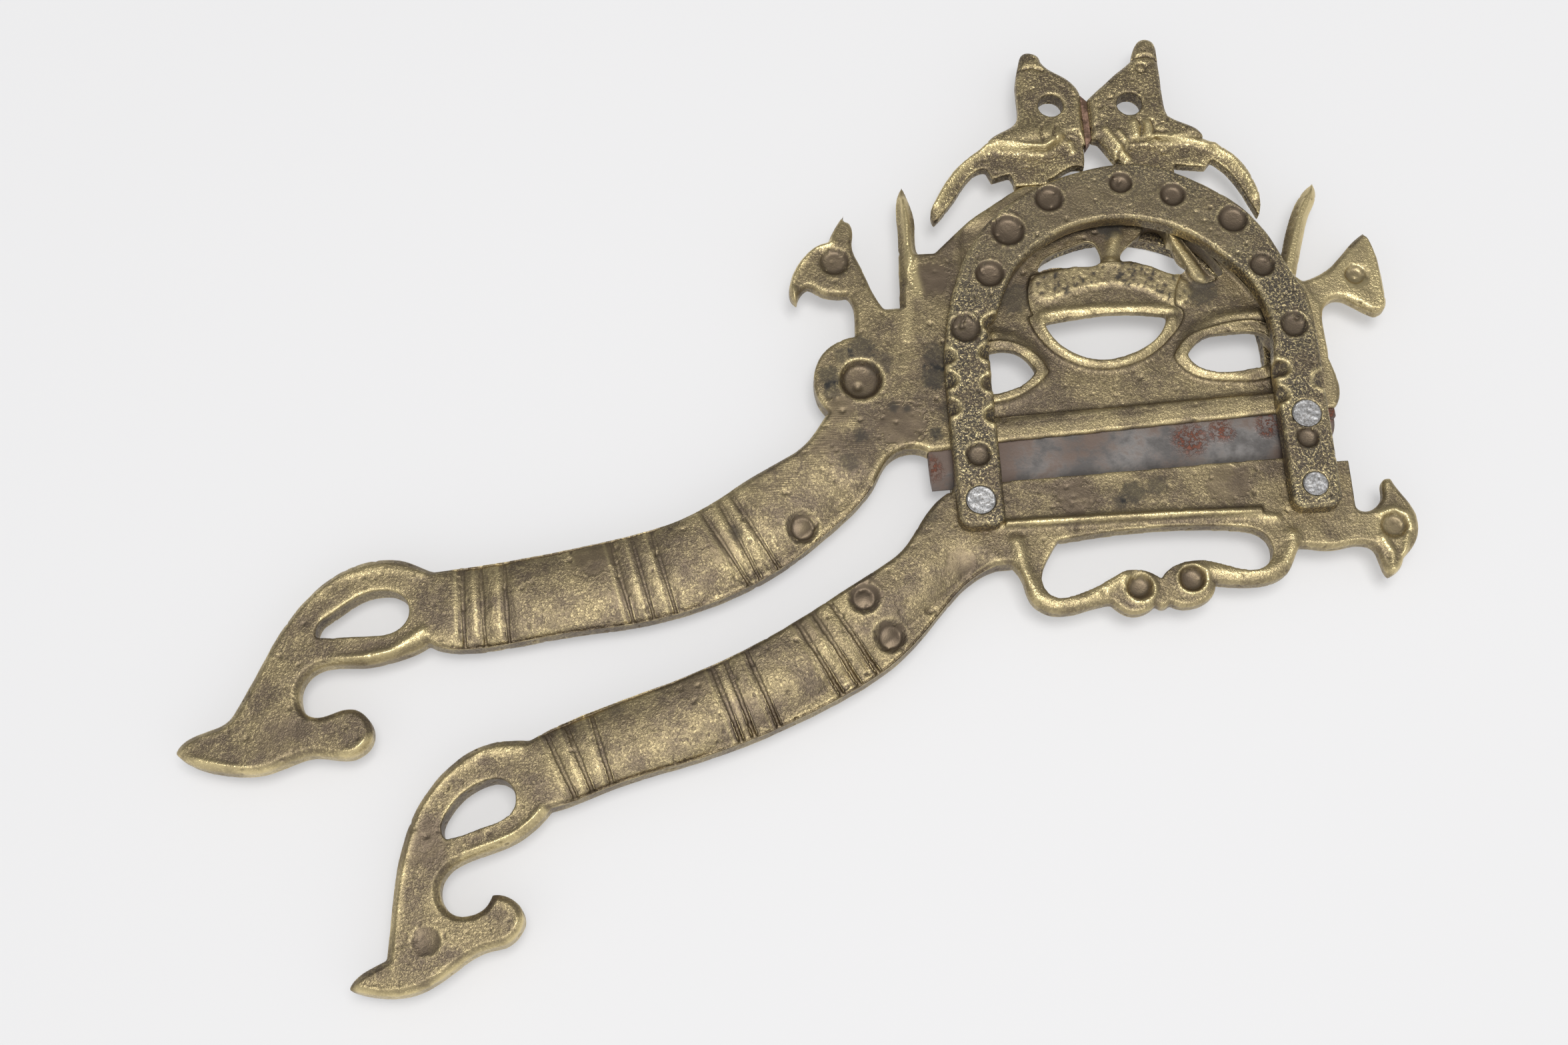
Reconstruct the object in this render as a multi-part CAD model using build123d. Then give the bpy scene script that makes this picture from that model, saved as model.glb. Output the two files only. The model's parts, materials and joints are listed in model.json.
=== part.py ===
from build123d import *
import math
import os

# Betel nut cutter lying flat: two cast-brass arms, a steel blade let into the upper
# one, two horseshoe guards riveted to the lower one, and a pair of birds on the crown.
# Everything is drawn round the hinge pin and moved at the end so that the outline's
# middle is the origin and the back guard rests on the floor.

# Hinge pin, seen from the middle of the whole outline
hinge_x = 85.59
hinge_y = 5.74

# Layers from the floor up: back guard, arms, front guard
guard_thickness = 3.2
arm_thickness = 4.8
arm_play = 0.15
overrun = 2.0

arm_low = guard_thickness
arm_high = arm_low + arm_thickness
guard_low = arm_high
guard_high = guard_low + guard_thickness
arm_middle = (arm_low + arm_high) / 2
play_low = arm_low + arm_play
play_high = arm_high - arm_play

# Plate between the guards: its size also places all that is cast on it or riveted to it
plate_size = 60.0
plate_ease = 0.3
field_depth = 0.6
web_thickness = 1.4
crown_y = 0.792 * plate_size
ring_hole_radius = 1.1
cheek_radius = 4.0

# Closing line: it leans a little, and the blade's edge lies just clear of the anvil
closing_turn = 1.8
anvil_drop = 6.4
edge_gap = 0.15
edge_drop = anvil_drop - edge_gap

# Handles, from their roots on the body to the necks of the scrolls
handle_length = 85.0
handle_root_x = -0.977 * plate_size
handle_root_y = 0.212 * plate_size
low_handle_length = 70.0
low_root_x = -0.883 * plate_size
low_root_y = -(anvil_drop + 2.3)
handle_ease = 0.6
groove_width = 0.9
groove_depth = 0.5
groove_reach = 2.5

# Scroll ends
scroll_size = 40.0
scroll_turn = 183.7
low_scroll_size = 38.0
low_scroll_turn = 201.0
scroll_ease = 1.0

# Round boss beside the blade
boss_x = -1.237 * plate_size
boss_y = 0.202 * plate_size
boss_radius = 8.1
boss_cup_radius = 3.8
boss_cup_depth = 1.2

# Bird heads, spikes and loop, which are thinner than the arms
ornament_thickness = 3.0
peacock_size = 24.0
peacock_x = -1.242 * plate_size
peacock_y = 0.333 * plate_size
peacock_eye_radius = 2.7
fan_size = 24.0
fan_x = 0.092 * plate_size
fan_y = 0.333 * plate_size
fan_eye_radius = 1.9
head_ease = 0.6
spike_ease = 1.3
eye_depth = 0.6

# Blade
blade_left = 1.063 * plate_size
blade_right = 6.0
blade_spine = 3.0
blade_top = 3.6
blade_shoulder = 0.6
bevel_drop = 2.2
edge_thickness = 0.3
edge_right = 3.0
heel_radius = 5.6

# Anvil bar, its tab at the hinge end, and the loop and bird head under it
anvil_left = 1.003 * plate_size
anvil_right = 6.7
anvil_foot = 17.0
tab_left = 1.0
tab_drop = 7.7
bead_radius = 0.7
bead_left = 0.87 * plate_size
bead_right = 0.15 * plate_size
bead_drop = 15.8
loop_size = 0.733 * plate_size
loop_x = -0.45 * plate_size
loop_y = -(anvil_foot + 1.0)
loop_ease = 0.5
loop_cup_radius = 2.4
beak_size = 20.0
beak_x = anvil_right - 0.2
beak_y = -(anvil_foot + 2.0)
beak_eye_radius = 2.3

# Guards
guard_ease = 0.5
leg_corner = 2.2
cup_depth = 0.6
cup_taper_share = 0.75
gouge_radius = 1.5
gouge_length = 12.0
gouge_lean = 50.0

# Rivets
rivet_radius = 1.9
rivet_head_radius = 2.45
rivet_head_depth = 0.8
rivet_proud = 0.25
rivet_fit = 0.02
hinge_fit = 0.05
left_rivet_x = -0.935 * plate_size
left_rivet_y = -0.205 * plate_size
right_rivet_x = -0.005 * plate_size
right_rivet_y = -0.212 * plate_size
right_head_radius = 2.1

# Birds on the crown
bird_size = 30.0
bird_x = -0.5 * plate_size
bird_y = 0.8 * plate_size
bird_swell = 0.9
bird_thickness = 3.6
tail_thickness = 2.4
bird_ease = 0.8
bird_hole_radius = 2.25

# How a round tool stands on its place: on its lower end or under its upper end
on_end = (Align.CENTER, Align.CENTER, Align.MIN)
under_end = (Align.CENTER, Align.CENTER, Align.MAX)

# Outlines, as shares of the size of the piece they belong to
scroll_shares = [
    [(.01, .14), (.09, .185), (.2, .212), (.3, .222), (.42, .21), (.5, .218), (.56, .27), (.575, .34),
     (.553, .4), (.515, .418), (.46, .412), (.4, .4), (.35, .408), (.305, .45), (.288, .515), (.315, .57),
     (.37, .6), (.46, .592), (.53, .577), (.62, .59), (.71, .617), (.8, .622), (.9, .602), (1.0, .567)],
    [(1.085, .5), (1.03, .445), (.968, .425), (.9, .407)],
    [(.851, .372), (.78, .262), (.702, .13), (.633, .025), (.556, -.065), (.463, -.145), (.354, -.2),
     (.255, -.223), (.165, -.22), (.093, -.195), (.022, -.155)],
    [(-.12, -.15)],
    [(-.12, .14)],
]
teardrop_shares = [
    [(.487, .091), (.39, .099), (.28, .107), (.2, .108), (.14, .08), (.11, .025), (.12, -.03),
     (.16, -.068), (.218, -.083), (.275, -.08), (.35, -.052), (.44, 0), (.488, .038)],
]
low_scroll_shares = [
    [(0, .13), (.1, .188), (.2, .213), (.3, .214), (.42, .205), (.5, .214), (.555, .248), (.583, .3),
     (.582, .352), (.555, .4), (.5, .427), (.45, .428), (.415, .413)],
    [(.385, .386), (.328, .42), (.3, .47), (.3, .53), (.34, .578), (.415, .601), (.48, .589), (.55, .587),
     (.64, .607), (.756, .63), (.85, .625), (.95, .588)],
    [(1.062, .506), (1.03, .48), (.96, .462)],
    [(.879, .457), (.806, .31), (.742, .185), (.679, .078), (.617, -.003), (.544, -.08), (.458, -.142),
     (.369, -.187), (.278, -.215), (.185, -.221), (.102, -.205), (.015, -.168)],
    [(-.12, -.15)],
    [(-.12, .13)],
]
low_teardrop_shares = [
    [(.468, .096), (.39, .108), (.3, .113), (.22, .113), (.165, .088), (.14, .04), (.143, -.01),
     (.175, -.052), (.223, -.069), (.304, -.066), (.365, -.048), (.421, -.016), (.465, .025), (.48, .065)],
]
handle_root_share = (1.04, .43)
handle_shares = [
    [(-.02, .064), (.132, .079), (.324, .108), (.515, .161), (.647, .239), (.735, .291), (.775, .342)],
    [(.86, .43)],
    [(1.04, .43)],
    [(1.04, .262)],
    [(.98, .258), (.945, .27), (.912, .261), (.868, .202), (.787, .118), (.676, .036), (.552, -.022),
     (.382, -.062), (.235, -.075), (-.02, -.072)],
]
handle_groove_shares = [
    ((.053, .068), (.055, -.066)), ((.088, .071), (.094, -.068)), ((.134, .08), (.14, -.068)),
    ((.342, .111), (.382, -.059)), ((.382, .121), (.422, -.052)), ((.422, .128), (.464, -.04)),
    ((.522, .161), (.602, .022)), ((.558, .18), (.633, .015)), ((.581, .196), (.666, .044)),
]
low_root_share = (1.1, .64)
low_handle_shares = [
    [(-.04, .075), (.121, .143), (.3, .2), (.479, .27), (.64, .354), (.783, .439), (.863, .493),
     (.926, .579)],
    [(.983, .631)],
    [(1.1, .64)],
    [(1.16, .445)],
    [(1.086, .441), (.997, .39), (.926, .314), (.817, .211), (.684, .136), (.514, .064),
     (.327, .007), (.149, -.039), (-.02, -.08)],
]
low_handle_groove_shares = [
    ((.01, .091), (.069, -.051)), ((.054, .113), (.109, -.039)), ((.113, .136), (.157, -.03)),
    ((.397, .234), (.46, .047)), ((.43, .243), (.491, .057)), ((.479, .267), (.55, .076)),
    ((.599, .333), (.701, .144)), ((.64, .35), (.741, .17)), ((.68, .376), (.787, .196)),
]
handle_dot_share = (.72, .118)
low_handle_dot_shares = [(.764, .376), (.82, .283)]
dot_radius = 2.4

peacock_shares = [
    [(-.04, -.55), (-.01, -.15), (0, .1), (-.015, .3)],
    [(-.045, .345), (-.16, .35), (-.25, .385), (-.32, .425), (-.37, .39)],
    [(-.405, .295), (-.45, .35), (-.44, .49), (-.35, .65), (-.22, .76)],
    [(-.15, .775), (-.09, .9)],
    [(-.015, 1.005), (-.01, .94)],
    [(.01, .94), (.035, .85), (.02, .75), (.075, .57), (.16, .33)],
    [(.22, .222)],
    [(.52, .222)],
    [(.52, -.55)],
]
peacock_eye_share = (-.115, .61)
spike_shares = [
    [(.32, .1), (.35, .5), (.365, .9), (.39, 1.15)],
    [(.425, 1.215), (.47, 1.08), (.5, .9), (.51, .65)],
    [(.53, .625), (.6, .64)],
    [(.6, .1)],
]
fan_shares = [
    [(.03, -.35), (.03, -.05), (.075, .075), (.16, .115), (.28, .06), (.37, 0)],
    [(.42, -.025), (.475, -.005), (.51, .2), (.48, .5)],
    [(.425, .62), (.3, .52), (.15, .37), (0, .285)],
    [(-.07, .265), (-.11, .3)],
    [(-.35, .3)],
    [(-.35, -.35)],
]
fan_eye_share = (.31, .285)
fan_spike_shares = [
    [(-.11, .3), (-.03, .55), (.06, .8), (.135, .98)],
    [(.12, 1.065), (0, .95), (-.11, .73), (-.19, .5)],
    [(-.27, .3)],
]
beak_shares = [
    [(-.65, .3)],
    [(.005, .3), (.01, .2), (.04, .13), (.1, .113), (.2, .16), (.255, .24), (.262, .34)],
    [(.29, .39)],
    [(.345, .395), (.41, .27), (.49, .13), (.517, .02), (.49, -.14), (.4, -.265)],
    [(.345, -.32), (.28, -.43)],
    [(.205, -.465), (.155, -.33), (.11, -.205), (.04, -.175), (-.2, -.195), (-.45, -.17)],
    [(-.65, -.17)],
]
beak_eye_share = (.3, -.035)

loop_shares = [
    [(-.6, -.02)],
    [(-.56, -.11), (-.525, -.17), (-.5, -.255), (-.427, -.307), (-.305, -.3)],
    [(-.2, -.28), (-.175, -.307), (-.127, -.33), (-.077, -.323)],
    [(-.036, -.295), (-.01, -.31)],
    [(.02, -.295), (.06, -.312), (.12, -.309), (.17, -.285)],
    [(.198, -.225), (.3, -.24), (.409, -.232), (.48, -.195), (.515, -.13)],
    [(.55, -.08)],
    [(.55, .1)],
    [(-.6, .1)],
]
loop_window_shares = [
    [(-.377, -.023), (-.168, 0), (.077, .007), (.3, -.007), (.409, -.048), (.428, -.12), (.38, -.178),
     (.264, -.166), (.14, -.132), (.06, -.145)],
    [(-.005, -.2), (-.061, -.163), (-.12, -.155), (-.22, -.2), (-.33, -.243), (-.41, -.248), (-.45, -.2),
     (-.432, -.11)],
]
loop_cup_shares = [(-.095, -.218), (.107, -.207)]

guard_outer_shares = [
    (-1, .2), (-.983, .343), (-.935, .502), (-.833, .658), (-.678, .763), (-.512, .812),
    (-.352, .815), (-.25, .77), (-.138, .697), (-.035, .573), (.03, .42), (.065, .2),
]
guard_inner_shares = [
    (-.073, .1), (-.06, .25), (-.1, .42), (-.17, .505), (-.265, .585), (-.37, .63),
    (-.48, .643), (-.6, .622), (-.7, .57), (-.79, .47), (-.845, .35), (-.87, .2),
]
leg_end_share = -.28
guard_cup_shares = [
    (-.93, -.07, 2.1), (-.932, .318, 2.7), (-.848, .485, 2.5), (-.782, .62, 2.9), (-.653, .717, 2.5),
    (-.44, .755, 2.0), (-.293, .708, 2.2), (-.127, .62, 2.6), (-.063, .467, 2.2), (.003, .275, 2.4),
    (-.007, -.073, 1.9),
]
gouge_shares = [
    (-.87, .047, 0), (-.87, .145, 0), (-.868, .24, 0), (-.85, .33, 10), (-1, .075, 180), (-1, .16, 180),
    (-1, .233, 180), (-.073, .06, 180), (-.06, .14, 180), (.063, .1, 0),
]

shoulder_shares = [
    [(-1.065, -.025)],
    [(-1.065, .2)],
    [(-1.05, .59)],
    [(-.995, .59), (-.94, .64), (-.867, .703), (-.79, .75), (-.735, .785)],
    [(-.7, .8)],
    [(-.3, .8)],
    [(-.25, .745), (-.15, .67), (-.06, .56), (.01, .42)],
    [(.06, .44)],
    [(.107, .33), (.1, .2), (.115, .06)],
    [(.1, .035)],
]
crescent_shares = [
    [(-.697, .348), (-.633, .358), (-.55, .367), (-.442, .367)],
    [(-.342, .352), (-.375, .287), (-.438, .245), (-.537, .223), (-.627, .252), (-.677, .3)],
]
right_lens_shares = [
    [(-.298, .223), (-.272, .258), (-.23, .283), (-.182, .287), (-.078, .28)],
    [(-.04, .23), (-.078, .18), (-.13, .168), (-.182, .163), (-.23, .168), (-.272, .185)],
]
left_lens_shares = [
    [(-.737, .197), (-.758, .237), (-.793, .265), (-.828, .272), (-.9, .25)],
    [(-.95, .192), (-.9, .143), (-.858, .135), (-.828, .14), (-.787, .153), (-.752, .178)],
]
sun_left_shares = [
    [(-.7, .505), (-.605, .523), (-.515, .533)],
    [(-.513, .57), (-.54, .605), (-.592, .592), (-.688, .543)],
]
sun_right_shares = [
    [(-.453, .533), (-.37, .51), (-.287, .483)],
    [(-.263, .503), (-.303, .578), (-.317, .638)],
    [(-.377, .647), (-.412, .598), (-.45, .56)],
]
sun_far_shares = [
    [(-.287, .625), (-.258, .57), (-.23, .522), (-.2, .473)],
    [(-.158, .48), (-.2, .55)],
]
band_shares = [
    [(-.72, .5), (-.605, .52), (-.515, .53), (-.453, .53), (-.37, .51)],
    [(-.287, .48), (-.31, .42)],
    [(-.32, .345), (-.44, .36), (-.55, .36), (-.63, .35)],
    [(-.71, .345), (-.735, .43)],
]
crescent_rim_shares = [
    [(-.74, .37), (-.6, .385), (-.44, .385), (-.3, .37)],
    [(-.345, .28), (-.43, .218), (-.537, .196), (-.64, .228), (-.705, .29)],
]
right_rim_shares = [
    [(-.335, .22), (-.29, .28), (-.21, .31), (-.05, .305)],
    [(-.02, .23), (-.05, .155), (-.18, .138), (-.28, .16)],
]
left_rim_shares = [
    [(-.7, .195), (-.74, .26), (-.82, .3), (-.93, .27)],
    [(-.99, .19), (-.93, .12), (-.84, .11), (-.76, .14)],
]
ring_share = (-.467, .637)
strut_shares = [
    [(-.325, .66), (-.302, .58), (-.27, .51), (-.25, .46)],
    [(-.185, .46), (-.225, .52), (-.255, .57), (-.29, .65)],
]
field_shares = [
    [(-.9, .06)],
    [(-.06, .09)],
    [(-.03, .2), (-.05, .33), (-.13, .47), (-.25, .6), (-.37, .655), (-.5, .665), (-.65, .62), (-.78, .5),
     (-.86, .35)],
]
hollow_shares = [
    [(-.88, .12)],
    [(-.08, .14)],
    [(-.06, .22), (-.08, .33), (-.15, .45), (-.26, .57), (-.37, .62), (-.5, .63), (-.64, .59), (-.75, .48),
     (-.84, .34)],
]

bird_left_tail_shares = [
    [(-.5, .32), (-.62, .272), (-.7, .215), (-.79, .145), (-.88, .045), (-.95, -.07), (-.99, -.17)],
    [(-.975, -.22), (-.88, -.12), (-.8, -.01), (-.7, .1)],
    [(-.64, .115)],
    [(-.61, .04)],
    [(-.5, .07)],
    [(-.47, -.05)],
    [(-.3, -.05)],
    [(-.28, .02), (-.2, .06), (-.12, .1)],
    [(-.06, .085), (-.05, .17)],
    [(-.07, .32)],
]
bird_right_tail_shares = [
    [(.5, .32), (.67, .235), (.78, .165), (.87, .07), (.93, -.06), (.95, -.2)],
    [(.93, -.29), (.88, -.17), (.81, -.02)],
    [(.7, .1)],
    [(.66, .05), (.55, .065)],
    [(.47, .08)],
    [(.47, -.05)],
    [(.13, -.05)],
    [(.17, .1), (.15, .13)],
    [(.12, .32)],
]
bird_left_body_shares = [
    [(-.035, .57), (-.15, .72), (-.21, .765)],
    [(-.25, .815), (-.28, .868), (-.35, .873), (-.385, .8), (-.413, .68), (-.415, .5), (-.44, .405),
     (-.52, .35)],
    [(-.62, .28)],
    [(-.55, .24), (-.42, .22), (-.28, .2)],
    [(-.18, .27), (-.12, .3)],
    [(-.035, .22)],
]
bird_right_body_shares = [
    [(0, .53), (.13, .65)],
    [(.3, .79), (.325, .88), (.37, .928), (.43, .92), (.455, .82), (.46, .5), (.475, .41), (.56, .35)],
    [(.67, .25)],
    [(.4, .22)],
    [(.22, .22)],
    [(.13, .11)],
    [(.04, .26)],
    [(0, .27)],
]
bird_hole_shares = [(-.22, .5), (.25, .485)]
braze_shares = [[(-.035, .22)], [(0, .27)], [(0, .53)], [(-.035, .57)]]


def place(shares, x, y, size, turn=0):
    """Points given as shares of a size, turned and moved to where the piece stands."""
    across = math.cos(math.radians(turn))
    along = math.sin(math.radians(turn))
    return [(x + size * (s * across - t * along), y + size * (s * along + t * across)) for s, t in shares]


def outline(runs, x, y, size, turn=0):
    """Face inside runs of points: each run is one smooth curve, and runs meet at corners."""
    placed = [place(run, x, y, size, turn) for run in runs]
    if len(placed) == 1:
        return make_face(Spline(*placed[0], periodic=True))
    edges = []
    for run, following in zip(placed, placed[1:] + placed[:1]):
        points = run + following[:1]
        edges.append(Spline(*points) if len(points) > 2 else Line(*points))
    return make_face(edges)


def slab(face, low, high):
    """Face raised from one level to another."""
    return extrude(Pos(0, 0, low) * face, high - low, dir=(0, 0, 1))


def eased(solid, ease):
    """Solid with the rims of its upper and lower faces taken off."""
    levels = solid.edges().group_by(Axis.Z)
    return chamfer(levels[0] + levels[-1], ease)


def eased_top(solid, ease):
    """Solid with the rim of its upper face alone taken off."""
    return chamfer(solid.edges().group_by(Axis.Z)[-1], ease)


def cup(x, y, radius, top, depth):
    """Round punched hollow, a little narrower at its floor."""
    taper = Cone(radius * cup_taper_share, radius, depth, align=under_end)
    return Pos(x, y, top) * taper


def groove(start, end, top):
    """Straight groove across a handle, past both of its edges."""
    middle_x = (start[0] + end[0]) / 2
    middle_y = (start[1] + end[1]) / 2
    length = math.dist(start, end) + 2 * groove_reach
    turn = math.degrees(math.atan2(end[1] - start[1], end[0] - start[0]))
    return Pos(middle_x, middle_y, top) * Rot(0, 0, turn) * Box(length, groove_width, 2 * groove_depth)


def grooves(shares, x, y, size, low, high):
    """The grooves of one handle, cut alike on its front and back."""
    cuts = []
    for start, end in shares:
        points = place((start, end), x, y, size)
        cuts.append(groove(*points, high))
        cuts.append(groove(*points, low))
    return cuts


def scroll(runs, hole_runs, x, y, size, turn, low, high):
    """Bird-head scroll at the end of a handle."""
    body = eased(slab(outline(runs, x, y, size, turn), low, high), scroll_ease)
    hole = slab(outline(hole_runs, x, y, size, turn), low - overrun, high + overrun)
    return body - hole


def neck(root_x, root_y, root_share, length):
    """Where a handle of this length ends and its scroll starts, seen from its root."""
    return root_x - root_share[0] * length, root_y - root_share[1] * length


def handle(runs, x, y, size, low, high):
    """Bar of a handle between its scroll and the hinge end."""
    return eased(slab(outline(runs, x, y, size), low, high), handle_ease)


def pin_hole(x, y, radius, low, high):
    """Round hole through a layer."""
    tall = Cylinder(radius, high - low + 2 * overrun, align=on_end)
    return Pos(x, y, low - overrun) * tall


def anvil_bar(low, high):
    """Bar that the blade closes on, with a tab standing a little lower at the hinge end."""
    slope = math.tan(math.radians(closing_turn))
    top = anvil_drop / math.cos(math.radians(closing_turn))
    corners = [
        (-anvil_left, -anvil_foot),
        (-anvil_left, -top - slope * anvil_left),
        (-tab_left, -top - slope * tab_left),
        (-tab_left, -tab_drop),
        (anvil_right, -tab_drop),
        (anvil_right, -anvil_foot),
    ]
    return slab(make_face(Polyline(*corners, close=True)), low, high)


def lower_arm():
    """Anvil arm: scroll, handle, anvil bar with its tab, loop bracket and bird head."""
    low, high = arm_low, arm_high
    thin = high - ornament_thickness
    neck_x, neck_y = neck(low_root_x, low_root_y, low_root_share, low_handle_length)
    body = scroll(low_scroll_shares, low_teardrop_shares, neck_x, neck_y,
                  low_scroll_size, low_scroll_turn, low, high)
    body += handle(low_handle_shares, neck_x, neck_y, low_handle_length, low, high)
    body += eased(slab(outline(loop_shares, loop_x, loop_y, loop_size), thin, high), loop_ease)
    body += eased(slab(outline(beak_shares, beak_x, beak_y, beak_size), thin, high), head_ease)
    body += anvil_bar(low, high)
    bead = Cylinder(bead_radius, bead_left - bead_right, rotation=(0, 90, 0), align=on_end)
    body += Pos(-bead_left, -bead_drop, high) * bead
    body -= slab(outline(loop_window_shares, loop_x, loop_y, loop_size), low - overrun, high + overrun)
    for cut in grooves(low_handle_groove_shares, neck_x, neck_y, low_handle_length, low, high):
        body -= cut
    for x, y in place(low_handle_dot_shares, neck_x, neck_y, low_handle_length):
        body -= cup(x, y, dot_radius, high, eye_depth)
    for x, y in place(loop_cup_shares, loop_x, loop_y, loop_size):
        body -= cup(x, y, loop_cup_radius, high, eye_depth)
    for x, y in place([beak_eye_share], beak_x, beak_y, beak_size):
        body -= cup(x, y, beak_eye_radius, high, eye_depth)
    for x, y in guard_rivet_places:
        body -= pin_hole(x, y, rivet_radius + rivet_fit, low, high)
    return body


def plate(low, high):
    """Pierced plate: a thin sunk field round raised rims, with the openings cut through."""
    body = eased(slab(outline(shoulder_shares, 0, 0, plate_size), low, high), plate_ease)
    body += slab(Circle(cheek_radius), low, high)
    field = outline(field_shares, 0, 0, plate_size)
    for shares in raised_shares:
        field -= outline(shares, 0, 0, plate_size)
    body -= slab(field, high - field_depth, high + overrun)
    hollow = outline(hollow_shares, 0, 0, plate_size)
    body -= slab(hollow, low - overrun, high - field_depth - web_thickness)
    for shares in opening_shares:
        body -= slab(outline(shares, 0, 0, plate_size), low - overrun, high + overrun)
    for x, y in place([ring_share], 0, 0, plate_size):
        body -= cup(x, y, ring_hole_radius, high, eye_depth)
    above_crown = Box(bird_size, bird_size, 2 * arm_high, align=(Align.CENTER, Align.MIN, Align.CENTER))
    return body - Pos(bird_x, crown_y, high) * above_crown


def upper_arm():
    """Blade arm: scroll, handle, boss, bird heads, spikes and the pierced plate."""
    low, high = play_low, play_high
    thin = high - ornament_thickness
    neck_x, neck_y = neck(handle_root_x, handle_root_y, handle_root_share, handle_length)
    body = scroll(scroll_shares, teardrop_shares, neck_x, neck_y, scroll_size, scroll_turn, low, high)
    body += handle(handle_shares, neck_x, neck_y, handle_length, low, high)
    body += plate(low, high)
    body += eased(slab(outline(peacock_shares, peacock_x, peacock_y, peacock_size), thin, high), head_ease)
    body += eased(slab(outline(spike_shares, peacock_x, peacock_y, peacock_size), thin, high), spike_ease)
    body += eased(slab(outline(fan_shares, fan_x, fan_y, fan_size), thin, high), head_ease)
    body += eased(slab(outline(fan_spike_shares, fan_x, fan_y, fan_size), thin, high), spike_ease)
    body += Pos(boss_x, boss_y, 0) * eased(slab(Circle(boss_radius), low, high), plate_ease)
    body -= cup(boss_x, boss_y, boss_cup_radius, high, boss_cup_depth)
    for cut in grooves(handle_groove_shares, neck_x, neck_y, handle_length, low, high):
        body -= cut
    for x, y in place([handle_dot_share], neck_x, neck_y, handle_length):
        body -= cup(x, y, dot_radius, high, eye_depth)
    for x, y in place([peacock_eye_share], peacock_x, peacock_y, peacock_size):
        body -= cup(x, y, peacock_eye_radius, high, eye_depth)
    for x, y in place([fan_eye_share], fan_x, fan_y, fan_size):
        body -= cup(x, y, fan_eye_radius, high, eye_depth)
    slot_depth = blade_top + 2 * cheek_radius
    slot = Box(2 * blade_left, slot_depth, blade_spine, align=(Align.MIN, Align.MAX, Align.CENTER))
    body -= Rot(0, 0, closing_turn) * Pos(-blade_left, blade_top, arm_middle) * slot
    return body - pin_hole(0, 0, rivet_radius + hinge_fit, low, high)


def blade():
    """Steel blade: a flat spine in the slot, ground to an edge, and a round heel."""
    half = blade_spine / 2
    half_edge = edge_thickness / 2
    bevel = edge_drop - bevel_drop
    section = Polyline((blade_top, half), (-bevel, half), (-edge_drop, half_edge), (-edge_drop, -half_edge),
                       (-bevel, -half), (blade_top, -half), close=True)
    left_end = Plane(origin=(-blade_left, 0, arm_middle), x_dir=(0, 1, 0), z_dir=(1, 0, 0))
    body = extrude(left_end * make_face(section), blade_left - edge_right, dir=(1, 0, 0))
    below_top = Rectangle(2 * heel_radius, heel_radius + blade_top, align=(Align.CENTER, Align.MAX))
    heel = Circle(heel_radius) & Pos(0, blade_top) * below_top
    heel += Pos(blade_right, blade_shoulder) * Rectangle(
        blade_right + edge_right + overrun, blade_top - blade_shoulder, align=(Align.MAX, Align.MIN))
    body += slab(heel, arm_middle - half, arm_middle + half)
    return Rot(0, 0, closing_turn) * body - pin_hole(0, 0, rivet_radius + hinge_fit, arm_low, arm_high)


def guard(low, high):
    """Horseshoe strip over the hinge and the blade's ends."""
    outer = place(guard_outer_shares, 0, 0, plate_size)
    inner = place(guard_inner_shares, 0, 0, plate_size)
    leg_end = leg_end_share * plate_size
    ends = [(x, leg_end) for x in (outer[-1][0], inner[0][0], inner[-1][0], outer[0][0])]
    edges = [
        Spline(*outer, tangents=((0, 1), (0, -1))),
        Polyline(outer[-1], ends[0], ends[1], inner[0]),
        Spline(*inner, tangents=((0, 1), (0, -1))),
        Polyline(inner[-1], ends[2], ends[3], outer[0]),
    ]
    face = make_face(edges)
    face = fillet(face.vertices().sort_by(Axis.Y)[:4], leg_corner)
    return slab(face, low, high)


def rivet_recess(x, y, head_radius, low, high):
    """Hole through a guard for a rivet and its head, which is always on the outside."""
    body = pin_hole(x, y, rivet_radius + rivet_fit, low, high)
    start = high - rivet_head_depth if low > 0 else low - overrun
    head = Cylinder(head_radius + rivet_fit, rivet_head_depth + overrun, align=on_end)
    return body + Pos(x, y, start) * head


def front_guard():
    """Guard that shows, with its punched cups and gouged edges."""
    body = eased_top(guard(guard_low, guard_high), guard_ease)
    for x, y, radius in guard_cup_shares:
        body -= cup(x * plate_size, y * plate_size, radius, guard_high, cup_depth)
    for x, y, turn in gouge_shares:
        tool = Rot(0, 0, turn) * Rot(0, -gouge_lean, 0) * Cylinder(gouge_radius, gouge_length)
        body -= Pos(x * plate_size, y * plate_size, guard_high) * tool
    for x, y, radius in rivet_places:
        body -= rivet_recess(x, y, radius, guard_low, guard_high)
    return body


def back_guard():
    """Plain guard that the cutter lies on."""
    body = guard(0, guard_thickness)
    for x, y, radius in rivet_places:
        body -= rivet_recess(x, y, radius, 0, guard_thickness)
    return body


def rivet(x, y, head_radius):
    """Rivet through both guards: flush at the back, a little proud and rounded in front."""
    shank = Cylinder(rivet_radius, guard_high, align=on_end)
    back = Cylinder(head_radius, rivet_head_depth, align=on_end)
    front = Cylinder(head_radius, rivet_head_depth + rivet_proud, align=under_end)
    front = chamfer(front.edges().sort_by(Axis.Z)[-1], rivet_proud)
    return Pos(x, y, 0) * (shank + back + Pos(0, 0, guard_high + rivet_proud) * front)


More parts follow.
